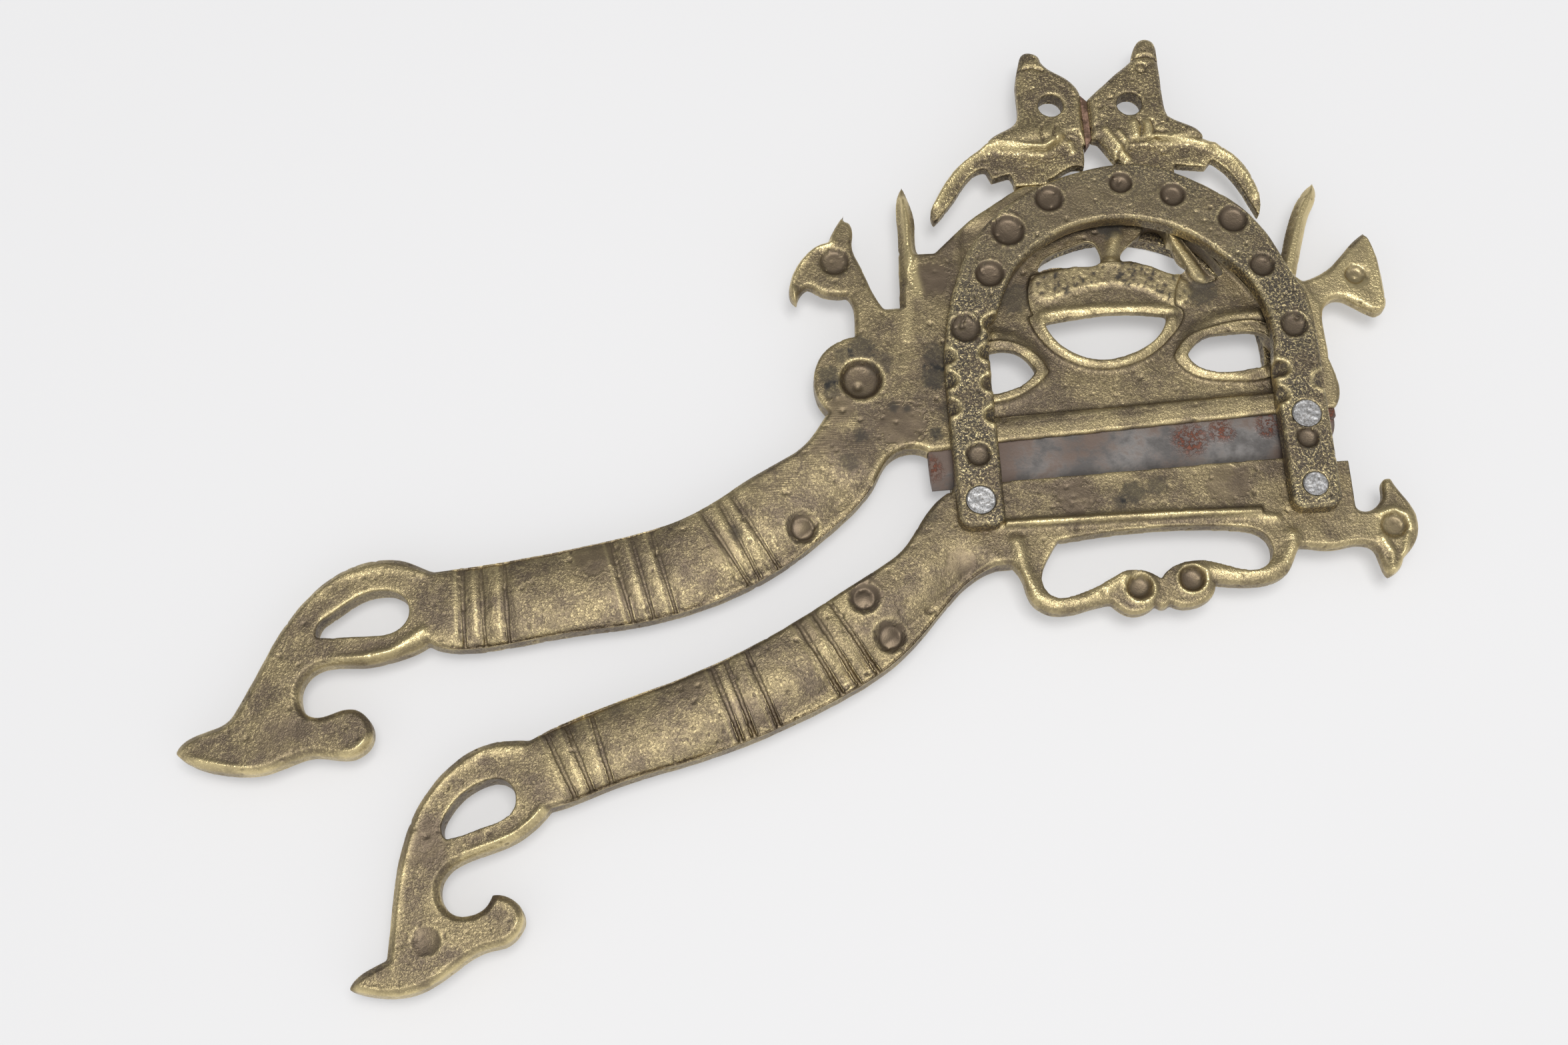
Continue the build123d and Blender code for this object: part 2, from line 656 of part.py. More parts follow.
def bird(tail_shares, body_shares, hole_share):
    """Cast bird: tail and feet between the guards' faces, and a swelled head and body."""
    high = play_high + bird_swell
    low = high - bird_thickness
    solid = slab(outline(tail_shares, bird_x, bird_y, bird_size), play_high - tail_thickness, play_high)
    solid += eased(slab(outline(body_shares, bird_x, bird_y, bird_size), low, high), bird_ease)
    below_crown = Box(bird_size, bird_size, 2 * arm_high, align=(Align.CENTER, Align.MAX, Align.CENTER))
    solid -= Pos(bird_x, crown_y, high) * below_crown
    for x, y in place([hole_share], bird_x, bird_y, bird_size):
        solid -= pin_hole(x, y, bird_hole_radius, low, high)
    return solid


def braze():
    """Filler between the birds' breasts."""
    return slab(outline(braze_shares, bird_x, bird_y, bird_size), play_high - tail_thickness, play_high)


guard_rivet_places = [(left_rivet_x, left_rivet_y), (right_rivet_x, right_rivet_y)]
rivet_places = [
    (0, 0, rivet_head_radius),
    (left_rivet_x, left_rivet_y, rivet_head_radius),
    (right_rivet_x, right_rivet_y, right_head_radius),
]
raised_shares = [band_shares, strut_shares, crescent_rim_shares, right_rim_shares, left_rim_shares]
opening_shares = [crescent_shares, right_lens_shares, left_lens_shares, sun_left_shares, sun_right_shares,
                  sun_far_shares]


def pieces():
    """Every piece under its node's name, drawn round the hinge pin."""
    left_share, right_share = bird_hole_shares
    return {
        "lower_arm": lower_arm(),
        "upper_arm": upper_arm(),
        "blade": blade(),
        "front_guard": front_guard(),
        "back_guard": back_guard(),
        "pivot_rivet": rivet(*rivet_places[0]),
        "left_guard_rivet": rivet(*rivet_places[1]),
        "right_guard_rivet": rivet(*rivet_places[2]),
        "left_bird": bird(bird_left_tail_shares, bird_left_body_shares, left_share),
        "right_bird": bird(bird_right_tail_shares, bird_right_body_shares, right_share),
        "bird_braze": braze(),
    }


os.makedirs("parts", exist_ok=True)
for name, solid in pieces().items():
    placed = Pos(hinge_x, hinge_y, 0) * solid
    export_step(placed, f"parts/{name}.step")
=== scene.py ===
import json
import math
import bpy
import numpy as np
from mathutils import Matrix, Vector, noise


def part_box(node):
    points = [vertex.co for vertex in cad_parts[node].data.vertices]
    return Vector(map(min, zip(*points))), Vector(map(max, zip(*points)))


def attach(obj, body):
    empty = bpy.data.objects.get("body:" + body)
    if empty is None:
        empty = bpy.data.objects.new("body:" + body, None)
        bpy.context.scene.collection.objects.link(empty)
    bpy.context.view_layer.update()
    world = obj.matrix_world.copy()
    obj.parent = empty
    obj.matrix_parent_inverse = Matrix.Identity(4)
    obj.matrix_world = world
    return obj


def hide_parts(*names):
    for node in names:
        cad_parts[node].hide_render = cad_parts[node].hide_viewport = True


bl_info = {
    "name": "Betel Nut Cutter",
    "version": (1, 0, 0),
    "blender": (4, 5, 0),
    "location": "3D View > Sidebar > Nut Cutter",
    "description": "Works the castings of a betel nut cutter and gives them their aged metals",
    "category": "Object",
}

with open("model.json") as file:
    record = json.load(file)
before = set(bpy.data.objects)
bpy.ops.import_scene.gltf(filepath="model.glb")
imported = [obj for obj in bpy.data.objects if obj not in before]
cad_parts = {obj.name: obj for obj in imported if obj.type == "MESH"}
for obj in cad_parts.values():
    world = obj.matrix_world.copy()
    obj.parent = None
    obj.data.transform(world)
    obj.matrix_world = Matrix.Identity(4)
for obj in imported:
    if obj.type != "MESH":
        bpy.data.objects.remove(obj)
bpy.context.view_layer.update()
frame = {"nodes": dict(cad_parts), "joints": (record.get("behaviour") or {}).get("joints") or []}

# Middle of the hinge pin on the floor: every measured point below is in millimetres from it
PIN = np.array((*frame["joints"][0]["pos_m"][:2], 0.0)) * 1000

# What the finishes read from a casting's skin, and the way the file went over the filed faces
PAINTS = ("polish_and_highlight", "stained", "dirt_and_shade", "filed")
FILE_TURN = math.radians(57.0)
FILE_SCALE = (0.3, 6.0, 1.0)

# How edges and hollows are found: name, rounds of rubbing and the bend in millimetres of a full one
BENDS = (("fine", 5, 0.045), ("broad", 36, 0.22))

# Seeds of the uneven waves, and how far one seed shifts them
SEEDS = {"lower_arm": 1, "upper_arm": 2, "front_guard": 3, "back_guard": 4, "left_bird": 5, "right_bird": 6}
SPONGE_SEED = 11
PATCH_SEED = 9.0
SEED_SHIFT = (7.3, 3.1, 5.7)

# Patterns in the metals: waves to the millimetre in all but the first, detail, roughness, distortion
CAST_GRAIN = (2.0, 0.55, 0.8)
FINE_GRAIN = (5.0, 2.0)
SKIN_PATCHES = (0.12, 4.0, 0.62)
SKIN_STAINS = (0.21, 5.0, 0.68, 0.4)
EDGE_WEAR = (0.16, 3.0)
FILE_MARKS = (1.0, 3.0, 0.6)
STEEL_CLOUDS = (0.2, 4.0, 0.6)
STEEL_STAINS = (0.1, 5.0, 0.65)
RUST_CRUST = (1.6, 4.0, 0.7)
RIVET_GRAIN = (3.0, 4.0, 0.7)
COPPER_PATCHES = (0.7, 4.0, 0.6)
HAMMER_FACETS = 1.1

# How far the front guard reaches from the pin, and what the moving arm stays clear of it
GUARD_REACH = 72.0
GUARD_GAP = 0.1

# What the camera looks at
VIEW_CENTRE = (-88.894, -13.238, 8.0)

# The stage, in metres: the lamp's place and tint, the level behind the picture, the floor's width and drop
LAMP_SPOT = (0.05, -0.10, 0.90)
LAMP_TINT = (1.0, 0.99, 0.97)
SKY_LEVEL = 0.93
FLOOR_SIZE = 4.0
FLOOR_DROP = 0.0002

# Where the outlines start, as x, y, size and turn: the tables in shares below are measured in these
SCROLL = (-147.0, -23.8, 40.0, 183.7)
LOW_SCROLL = (-130.0, -53.5, 38.0, 201.0)
HANDLE = (-147.0, -23.8, 85.0, 0.0)
LOW_HANDLE = (-130.0, -53.5, 70.0, 0.0)
PLATE = (0.0, 0.0, 60.0, 0.0)

# Middle lines of the handles and half their width, how far off the crown reaches and how steeply it falls
HANDLE_LINE = [(-150.0, -24.4, 6.4), (-127.0, -22.2, 7.6), (-108.0, -18.0, 8.0), (-92.0, -8.0, 8.2),
               (-80.0, 3.0, 8.6)]
LOW_HANDLE_LINE = [(-133.0, -54.0, 5.6), (-112.0, -46.4, 6.8), (-92.0, -37.6, 7.2), (-72.0, -24.0, 7.0),
                   (-60.0, -14.0, 7.0)]
CROWN_REACH = 12.0
CROWN_POWER = 2.4

# Both ends of each groove across the handles, and the stamped dots, in shares
GROOVES = [
    ((.053, .068), (.055, -.066)), ((.088, .071), (.094, -.068)), ((.134, .08), (.14, -.068)),
    ((.342, .111), (.382, -.059)), ((.382, .121), (.422, -.052)), ((.422, .128), (.464, -.04)),
    ((.522, .161), (.602, .022)), ((.558, .18), (.633, .015)), ((.581, .196), (.666, .044)),
]
LOW_GROOVES = [
    ((.01, .091), (.069, -.051)), ((.054, .113), (.109, -.039)), ((.113, .136), (.157, -.03)),
    ((.397, .234), (.46, .047)), ((.43, .243), (.491, .057)), ((.479, .267), (.55, .076)),
    ((.599, .333), (.701, .144)), ((.64, .35), (.741, .17)), ((.68, .376), (.787, .196)),
]
DOTS = [(.72, .118)]
LOW_DOTS = [(.764, .376), (.82, .283)]
DOT_RADIUS = 2.4

# The grooves: half width and fill of the core, half width, depth and paint of the trough, and the painted
# highlight along one side: its offset, half width and strength
GROOVE_CORE = 0.5
GROOVE_FILL = 0.45
GROOVE_HALF = 0.9
GROOVE_SINK = 0.36
GROOVE_STAIN = 0.25
GROOVE_DULL = -0.6
GROOVE_SIDE = 1.25
SIDE_HALF = 0.3
SIDE_HIGHLIGHT = 0.5

# Raised rims, polished and with a painted highlight, painted highlights along the backs, and the eye of the
# scrolls, in shares
SCROLL_RIMS = [
    [(1.028, .541), (.865, .594), (.772, .622), (.678, .617), (.567, .59), (.45, .597), (.363, .592),
     (.305, .542)],
    [(.06, .115), (.2, .19), (.32, .2), (.43, .2), (.53, .25), (.575, .33), (.53, .42)],
]
LOW_SCROLL_RIMS = [
    [(1.023, .532), (.888, .623), (.768, .643), (.653, .613), (.522, .585), (.409, .606), (.338, .581),
     (.31, .532)],
    [(.06, .15), (.2, .2), (.32, .2), (.43, .195), (.53, .25), (.57, .33), (.52, .42)],
]
SCROLL_BACK_HIGHLIGHTS = [[(.98, .44), (.84, .3), (.68, .1), (.55, -.06), (.4, -.16), (.2, -.18), (.05, -.13)]]
LOW_SCROLL_BACK_HIGHLIGHTS = [[(.93, .44), (.79, .32), (.66, .1), (.53, -.07), (.4, -.15), (.2, -.19), (.05, -.14)]]
LOW_SCROLL_EYE = (.703, .455)

# Ribs and lips of the pierced plate: points, half width, height and polish
PLATE_RIBS = [
    ([(-50.5, 19.0), (-47.6, 18.2), (-44.8, 15.9), (-43.2, 13.4), (-43.9, 10.8), (-46.9, 8.5), (-51.1, 7.2)],
     1.3, 0.55, 0.2),
    ([(-42.1, 20.9), (-40.6, 17.2), (-37.6, 14.3), (-33.3, 12.8), (-28.9, 12.9), (-25.5, 14.5),
      (-22.1, 17.3), (-19.8, 20.2)], 1.0, 0.45, 0.3),
    ([(-42.0, 22.4), (-38.4, 22.9), (-32.3, 23.1), (-24.5, 22.8), (-19.6, 22.2)], 0.8, 0.35, 0.6),
    ([(-4.8, 20.5), (-8.1, 20.5), (-12.1, 19.7), (-15.6, 18.1), (-18.2, 15.8), (-18.4, 13.4),
      (-16.5, 11.2), (-12.8, 9.8), (-9.1, 9.3), (-5.6, 10.4)], 1.2, 0.5, 0.2),
    ([(-18.4, 36.7), (-16.1, 32.2), (-13.9, 27.8)], 0.9, 0.6, 0.7),
    ([(-27.8, 37.0), (-29.0, 32.4)], 1.2, 0.5, 0.5),
    ([(-51.4, 0.9), (-40.1, 1.3), (-26.4, 2.0), (-17.2, 2.7), (-4.8, 3.4)], 0.7, 0.4, 0.35),
    ([(1.6, 27.0), (3.4, 24.3), (5.1, 19.9), (5.4, 13.8), (5.6, 7.8), (5.6, 3.1)], 0.7, 0.35, 0.4),
    ([(-64.8, 28.5), (-65.2, 24.3), (-65.7, 19.5)], 0.7, 0.5, 0.4),
    ([(-64.2, 46.0), (-64.1, 37.1), (-63.7, 31.5), (-63.2, 28.0)], 0.9, 0.4, 1.3),
    ([(2.1, 28.1), (4.0, 33.5), (6.2, 39.5), (8.5, 45.3)], 1.3, 0.3, 1.4),
    ([(-77.6, 38.4), (-80.7, 37.5), (-83.7, 34.4), (-85.1, 30.6), (-84.3, 27.6)], 0.7, 0.4, 0.7),
    ([(16.2, 33.4), (16.6, 27.0), (16.4, 21.2)], 0.7, 0.5, 0.6),
    ([(15.6, 21.0), (12.4, 23.6), (9.4, 26.9), (13.0, 30.6), (15.9, 33.6)], 0.6, 0.4, 0.3),
]

# The plate's sunk field: its sides, how softly they end, how the low side climbs, and how deep it lies
FIELD_LEFT, FIELD_RIGHT = -56.0, 1.0
FIELD_LOW, FIELD_HIGH = 5.5, 42.0
FIELD_EDGE = 2.0
FIELD_LOW_EDGE, FIELD_HIGH_EDGE = 1.5, 3.0
FIELD_CLIMB = 0.06
FIELD_DROP = 0.35

# The spongy band: its line, half width, where it ends, and height
BAND = [(-41.0, 27.7), (-35.4, 29.4), (-29.2, 30.2), (-23.2, 28.8), (-18.2, 25.8)]
BAND_HALF = 2.0
BAND_END = 3.2
BAND_HEIGHT = 0.3

# The boss's bowl and pit (x, y and radius), the filed face, the brown crown and the blade's gap
BOSS_BOWL = (-74.2, 11.9, 3.9)
BOSS_PIT = (-74.8, 11.1, 0.9)
FILED_FACE = [(-90.0, -5.0), (-83.0, 0.5), (-77.0, 2.0)]
CROWN_LEFT, CROWN_FULL_LEFT = -66.0, -60.0
CROWN_LOW, CROWN_FULL_LOW = 20.0, 30.0
PLATE_GAP = [(-51.5, -1.3), (-40.1, -0.9), (-26.4, -0.1), (-17.2, 0.5), (-4.8, 1.1)]

# Patches of paint on the two arms: x, y, radius and amount
UPPER_PATCHES = {
    "stained": [
        (-74.2, 11.9, 3.7, 0.6), (-78.4, 6.8, 2.6, 0.6), (-68.0, 3.4, 4.2, 0.7), (-80.4, 1.0, 2.4, 0.5),
        (-61.0, 30.3, 3.2, 0.6), (-77.2, 34.7, 2.3, 0.7), (13.4, 26.5, 2.0, 0.7), (-121.0, -17.0, 4.0, 0.5),
        (-99.0, -17.0, 3.0, 0.4), (-158.0, -33.5, 5.0, 0.3), (-172.0, -45.0, 4.0, 0.3),
        (-116.0, -24.0, 2.5, 0.3),
    ],
    "dirt_and_shade": [
        (-73.6, 18.1, 2.2, 0.6), (-79.7, 13.0, 1.9, 0.6), (-79.4, 10.2, 1.6, 0.5), (-70.4, 14.8, 2.0, 0.4),
        (-77.0, 16.8, 1.6, 0.5), (-69.1, 6.6, 0.9, 0.7), (-66.9, 6.1, 0.7, 0.7), (-77.3, -3.1, 1.7, 0.4),
        (-75.0, 1.6, 1.2, 0.6), (-60.8, 15.6, 2.4, 0.6), (-61.8, 11.6, 2.2, 0.7), (-58.8, 5.0, 2.4, 0.5),
        # the last patch on the next line, in the hole of the plate's ring at -28.4, 38.4, is painted shade
        (-62.2, 1.2, 1.1, 0.8), (-46.6, 26.2, 2.8, 0.5), (-14.0, 25.6, 2.6, 0.6), (-28.4, 38.4, 1.9, 0.8),
        (-97.0, -14.6, 1.3, 0.5),
    ],
}
LOWER_PATCHES = {
    "stained": [
        (-40.0, -11.5, 3.4, 0.5), (-14.0, -10.5, 3.8, 0.5), (-56.0, -14.0, 3.2, 0.6),
        (12.8, -19.6, 1.9, 0.7), (-30.9, -28.2, 2.2, 0.7), (-22.1, -27.1, 2.2, 0.7),
        (-76.0, -26.0, 2.8, 0.5), (-105.0, -39.0, 3.6, 0.4), (-98.0, -44.0, 2.6, 0.3),
        (-86.0, -31.0, 3.4, 0.4), (-149.0, -64.0, 4.0, 0.4), (-60.0, -22.0, 2.6, 0.5),
        (-2.0, -12.5, 3.2, 0.4),
    ],
    "dirt_and_shade": [
        (-30.3, -11.5, 2.1, 0.6), (-26.0, -10.4, 1.7, 0.5), (-32.6, -12.8, 1.2, 0.5),
        (-118.0, -43.0, 1.6, 0.3), (-64.5, -13.5, 1.2, 0.4),
    ],
}

# What hands have rubbed bright: line, half width and polish
UPPER_SHINE = [
    ([(8.0, 23.0), (13.0, 26.5), (18.0, 30.5)], 4.0, 0.5),
    ([(14.0, 25.0), (18.5, 22.0)], 3.0, 0.4),
    ([(6.5, 27.0), (5.5, 33.0), (8.0, 40.0)], 2.5, 0.5),
]
LOWER_SHINE = [([(8.0, -19.0), (15.0, -20.5)], 4.0, 0.35)]

# Ribs of the anvil arm: the bead of the bar, the round rods of the loop and the beaked head
LOWER_RIBS = [
    ([(-50.6, -19.0), (-50.0, -22.4), (-49.2, -25.8), (-47.7, -28.6), (-44.9, -30.0), (-40.1, -29.6),
      (-35.9, -27.6), (-33.4, -26.0)], 1.2, 0.5, 0.4),
    ([(-19.0, -25.6), (-14.4, -26.6), (-9.6, -26.6), (-6.4, -25.0), (-4.9, -22.7), (-4.6, -20.5)],
     1.2, 0.5, 0.4),
    ([(-53.6, -15.8), (-42.9, -15.6), (-32.3, -15.4), (-21.6, -15.5), (-11.1, -16.4), (-6.9, -17.2)],
     0.7, 0.3, 0.5),
    ([(10.2, -21.6), (11.6, -24.4), (11.2, -27.4)], 0.6, 0.35, 0.5),
    ([(14.6, -21.4), (13.6, -24.6), (11.8, -27.6)], 0.5, 0.35, 0.7),
    ([(10.6, -17.6), (12.8, -16.9), (14.9, -17.9), (15.3, -20.2)], 0.6, 0.4, 0.5),
]
LOOP_CUPS = [(-30.9, -28.2, 2.4), (-22.1, -27.1, 2.4)]

# Rust on the blade: places and radius, and the level that it lies at
RUST_PATCHES = [
    (-63.5, -4.5, 3.2), (-19.0, -1.8, 4.0), (-14.0, -0.6, 3.2), (4.5, 2.5, 3.4), (-6.0, 0.0, 3.0),
]
BLADE_LEVEL = 6.5

# Cups of the front guard with their radius and gouges in its edges, in plate shares, and its brown top
GUARD_CUPS = [
    (-.93, -.07, 2.1), (-.932, .318, 2.7), (-.848, .485, 2.5), (-.782, .62, 2.9), (-.653, .717, 2.5),
    (-.44, .755, 2.0), (-.293, .708, 2.2), (-.127, .62, 2.6), (-.063, .467, 2.2), (.003, .275, 2.4),
    (-.007, -.073, 1.9),
]
GUARD_GOUGES = [
    (-.87, .047), (-.87, .145), (-.868, .24), (-.85, .33), (-1, .075), (-1, .16), (-1, .233), (-.073, .06),
    (-.06, .14), (.063, .1),
]
GOUGE_RADIUS = 1.5
GUARD_HALF = 5.5
GUARD_TOP = [(-50.0, 31.0), (-42.0, 40.0), (-30.0, 44.5), (-18.0, 41.5), (-9.0, 34.0)]

# Wings, tails and feathers of the birds: points, half width, height and brightening; the bright streaks
# along the lower wing edges, the bright wing patches, breasts and tails are painted highlights, and the
# lines below nought are cut and dulled
LEFT_BIRD_LINES = [
    ([(-47.0, 56.6), (-42.1, 57.3), (-37.4, 57.2)], 1.9, 0.5, 0.1),
    ([(-48.6, 55.7), (-43.6, 54.9), (-38.5, 54.4), (-35.5, 56.3)], 0.7, 0.7, 1.4),
    ([(-38.6, 58.7), (-39.0, 57.4), (-38.7, 56.0)], 0.25, -0.35, -0.4),
    ([(-36.2, 58.6), (-36.8, 57.0), (-36.3, 55.9)], 0.25, -0.35, -0.4),
    ([(-33.9, 55.4), (-33.5, 53.9)], 0.7, 0.3, 0.7),
    ([(-49.3, 55.1), (-52.9, 52.6), (-56.4, 48.4), (-58.5, 45.0)], 0.8, 0.6, 1.3),
    ([(-42.4, 70.4), (-39.2, 70.9), (-37.4, 70.2)], 0.3, -0.35, -0.3),
]
RIGHT_BIRD_LINES = [
    ([(-22.2, 58.4), (-22.0, 56.2)], 0.8, 0.6, 1.4),
    ([(-19.9, 58.0), (-19.8, 55.8)], 0.8, 0.6, 1.3),
    ([(-21.4, 59.3), (-20.6, 57.9), (-21.2, 55.9)], 0.25, -0.4, -0.5),
    ([(-19.0, 58.9), (-18.5, 57.1), (-19.2, 55.5)], 0.25, -0.4, -0.5),
    ([(-18.8, 55.5), (-15.3, 55.1), (-11.8, 54.7), (-8.4, 53.3)], 0.7, 0.6, 1.4),
    ([(-8.4, 53.3), (-5.5, 51.1), (-3.2, 47.0), (-2.1, 43.4)], 0.8, 0.6, 1.3),
    ([(-27.4, 57.4), (-25.7, 54.6), (-24.0, 51.8)], 0.6, 0.5, 1.2),
    ([(-25.1, 56.8), (-23.7, 54.5)], 0.5, 0.3, 0.6),
    ([(-20.8, 71.9), (-18.3, 72.2), (-16.6, 71.4)], 0.3, -0.4, -0.3),
]
RIGHT_BIRD_EYE = (-19.6, 69.7)


class CastingSettings(bpy.types.PropertyGroup):
    """How the castings are worked."""
    skin_size: bpy.props.FloatProperty(
        name="Skin size", description="Width of the even faces that a casting is remade with",
        default=0.00025, min=0.0001, max=0.002, unit="LENGTH", precision=5)
    small_skin_size: bpy.props.FloatProperty(
        name="Small skin size", description="The same for the guards and the birds",
        default=0.0002, min=0.0001, max=0.002, unit="LENGTH", precision=5)
    rubbing: bpy.props.IntProperty(
        name="Rubbing", description="How often the sharp edges are rubbed down", default=2, min=0, max=40)
    crown: bpy.props.FloatProperty(
        name="Crown", description="How far the handles fall away at their sides, in millimetres",
        default=1.2, min=0.0, max=2.0)
    swell: bpy.props.FloatProperty(
        name="Swell", description="Height of the slow waves that hand work leaves, in millimetres",
        default=0.07, min=0.0, max=0.5)
    pitting: bpy.props.FloatProperty(
        name="Pitting", description="Depth of the casting's open pores, in millimetres",
        default=0.22, min=0.0, max=1.0)


class BrassSettings(bpy.types.PropertyGroup):
    """Colours of the aged brass."""
    # Also the colour of the painted highlights on the groove sides, the scroll backs and rims and the birds
    bright: bpy.props.FloatVectorProperty(
        name="Worn brass", description="Brass where hands and cloth keep it bright", subtype="COLOR",
        size=3, default=(0.74, 0.61, 0.33), min=0.0, max=1.0)
    olive: bpy.props.FloatVectorProperty(
        name="Dull brass", description="Brass of the flat faces", subtype="COLOR",
        size=3, default=(0.275, 0.22, 0.13), min=0.0, max=1.0)
    grey: bpy.props.FloatVectorProperty(
        name="Grey skin", description="Grey brown film over much of the casting", subtype="COLOR",
        size=3, default=(0.16, 0.125, 0.09), min=0.0, max=1.0)
    slate: bpy.props.FloatVectorProperty(
        name="Slate skin", description="Dark film between the gold specks of the guards", subtype="COLOR",
        size=3, default=(0.13, 0.11, 0.085), min=0.0, max=1.0)
    brown: bpy.props.FloatVectorProperty(
        name="Patina", description="Brown skin of the hollows", subtype="COLOR",
        size=3, default=(0.17, 0.13, 0.092), min=0.0, max=1.0)
    # Also the colour of the painted shade in the hole of the plate's ring
    black: bpy.props.FloatVectorProperty(
        name="Dirt", description="Black dirt in the pits", subtype="COLOR",
        size=3, default=(0.035, 0.033, 0.03), min=0.0, max=1.0)
    grain_width: bpy.props.FloatProperty(
        name="Grain width", description="Width of the cast grain, in millimetres",
        default=0.4, min=0.1, max=3.0)


class FittingSettings(bpy.types.PropertyGroup):
    """Colours of the blade, the rivets and the filler."""
    steel_dark: bpy.props.FloatVectorProperty(
        name="Dark steel", description="Dark clouds of the blade", subtype="COLOR",
        size=3, default=(0.15, 0.14, 0.135), min=0.0, max=1.0)
    steel_light: bpy.props.FloatVectorProperty(
        name="Light steel", description="Light clouds of the blade", subtype="COLOR",
        size=3, default=(0.30, 0.285, 0.275), min=0.0, max=1.0)
    steel_brown: bpy.props.FloatVectorProperty(
        name="Stained steel", description="Brown stains of the blade", subtype="COLOR",
        size=3, default=(0.19, 0.13, 0.10), min=0.0, max=1.0)
    rust: bpy.props.FloatVectorProperty(
        name="Rust", description="Rust on the blade", subtype="COLOR",
        size=3, default=(0.24, 0.075, 0.04), min=0.0, max=1.0)
    rivet_dark: bpy.props.FloatVectorProperty(
        name="Dark rivet", description="Grey in the hammer marks of the rivets", subtype="COLOR",
        size=3, default=(0.26, 0.25, 0.24), min=0.0, max=1.0)
    rivet_light: bpy.props.FloatVectorProperty(
        name="Light rivet", description="Bright metal of the rivets", subtype="COLOR",
        size=3, default=(0.64, 0.64, 0.65), min=0.0, max=1.0)
    copper_dark: bpy.props.FloatVectorProperty(
        name="Dark filler", description="Tarnish of the filler between the birds", subtype="COLOR",
        size=3, default=(0.16, 0.10, 0.07), min=0.0, max=1.0)
    copper_light: bpy.props.FloatVectorProperty(
        name="Light filler", description="Bare copper of the filler", subtype="COLOR",
        size=3, default=(0.48, 0.30, 0.22), min=0.0, max=1.0)


class StageSettings(bpy.types.PropertyGroup):
    """The camera, the lamp and the floor."""
    floor_colour: bpy.props.FloatVectorProperty(
        name="Floor", description="Colour of the floor", subtype="COLOR",
        size=3, default=(0.90, 0.90, 0.91), min=0.0, max=1.0)
    floor_glow: bpy.props.FloatVectorProperty(
        name="Floor glow", description="Colour of the floor's own light", subtype="COLOR",
        size=3, default=(0.93, 0.93, 0.945), min=0.0, max=1.0)
    glow_share: bpy.props.FloatProperty(
        name="Glow share", description="How much of the floor's look is its own light", subtype="FACTOR",
        default=0.33, min=0.0, max=1.0)
    shadow_reach: bpy.props.FloatProperty(
        name="Shadow reach", description="How far from the object the floor's shadows start to fade",
        default=0.12, min=0.01, unit="LENGTH")
    lamp_size: bpy.props.FloatProperty(
        name="Lamp size", description="Width of the square lamp overhead",
        default=0.36, min=0.05, unit="LENGTH")
    lamp_power: bpy.props.FloatProperty(
        name="Lamp power", description="Light of the lamp overhead", default=4.0, min=0.0, unit="POWER")
    near_light: bpy.props.FloatProperty(
        name="Near light", description="Level of the surroundings below the picture", default=0.75, min=0.0)
    far_light: bpy.props.FloatProperty(
        name="Far light", description="Level of the surroundings above the picture", default=0.25, min=0.0)
    tilt: bpy.props.FloatProperty(
        name="Tilt", description="How far the camera leans from straight down", subtype="ANGLE",
        default=math.radians(20.0))
    roll: bpy.props.FloatProperty(
        name="Roll", description="How far the object is turned in the picture", subtype="ANGLE",
        default=math.radians(3.4))
    reach: bpy.props.FloatProperty(
        name="Camera distance", description="From the camera to the middle of the picture",
        default=0.36296, unit="LENGTH")
    lens: bpy.props.FloatProperty(
        name="Lens", description="Focal length on a 36 mm sensor", default=50.0, min=20.0, max=200.0)


# Reading and writing a mesh as arrays

def read(collection, name, width, kind=np.float64):
    """Values of a mesh collection as an array of rows."""
    values = np.empty(len(collection) * width, kind)
    collection.foreach_get(name, values)
    return values.reshape(-1, width)


def place(shares, where):
    """Points given as shares of an outline's size, in millimetres from the hinge pin."""
    x, y, size, turn = where
    across, along = math.cos(math.radians(turn)), math.sin(math.radians(turn))
    return [(x + size * (s * across - t * along), y + size * (s * along + t * across)) for s, t in shares]


def line_distance(points, line):
    """Distance in plan of each point from a line of points, and the share along the line."""
    line = np.array(line, float)[:, :2]
    best = np.full(len(points), 1e9)
    along = np.zeros(len(points))
    for number, (start, end) in enumerate(zip(line, line[1:])):
        run = end - start
        share = np.clip((points[:, :2] - start) @ run / (run @ run), 0, 1)
        distance = np.linalg.norm(points[:, :2] - start - share[:, None] * run, axis=1)
        nearer = distance < best
        best[nearer] = distance[nearer]
        along[nearer] = (number + share[nearer]) / (len(line) - 1)
    return best, along


def bump(distance, half_width):
    """Soft swelling, 1 in the middle and gone at twice its half width."""
    return np.exp(-(distance / half_width) ** 2)


def step(values, low, high):
    """Smooth step from 0 below low to 1 above high."""
    share = np.clip((values - low) / (high - low), 0, 1)
    return share * share * (3 - 2 * share)


def waves(points, width, seed, depth=2):
    """Slow even noise from about -1 to 1, the same on every run."""
    shift = Vector([seed * part for part in SEED_SHIFT])
    return np.array([noise.fractal(Vector(p) / width + shift, 0.9, 2.0, depth) for p in points])


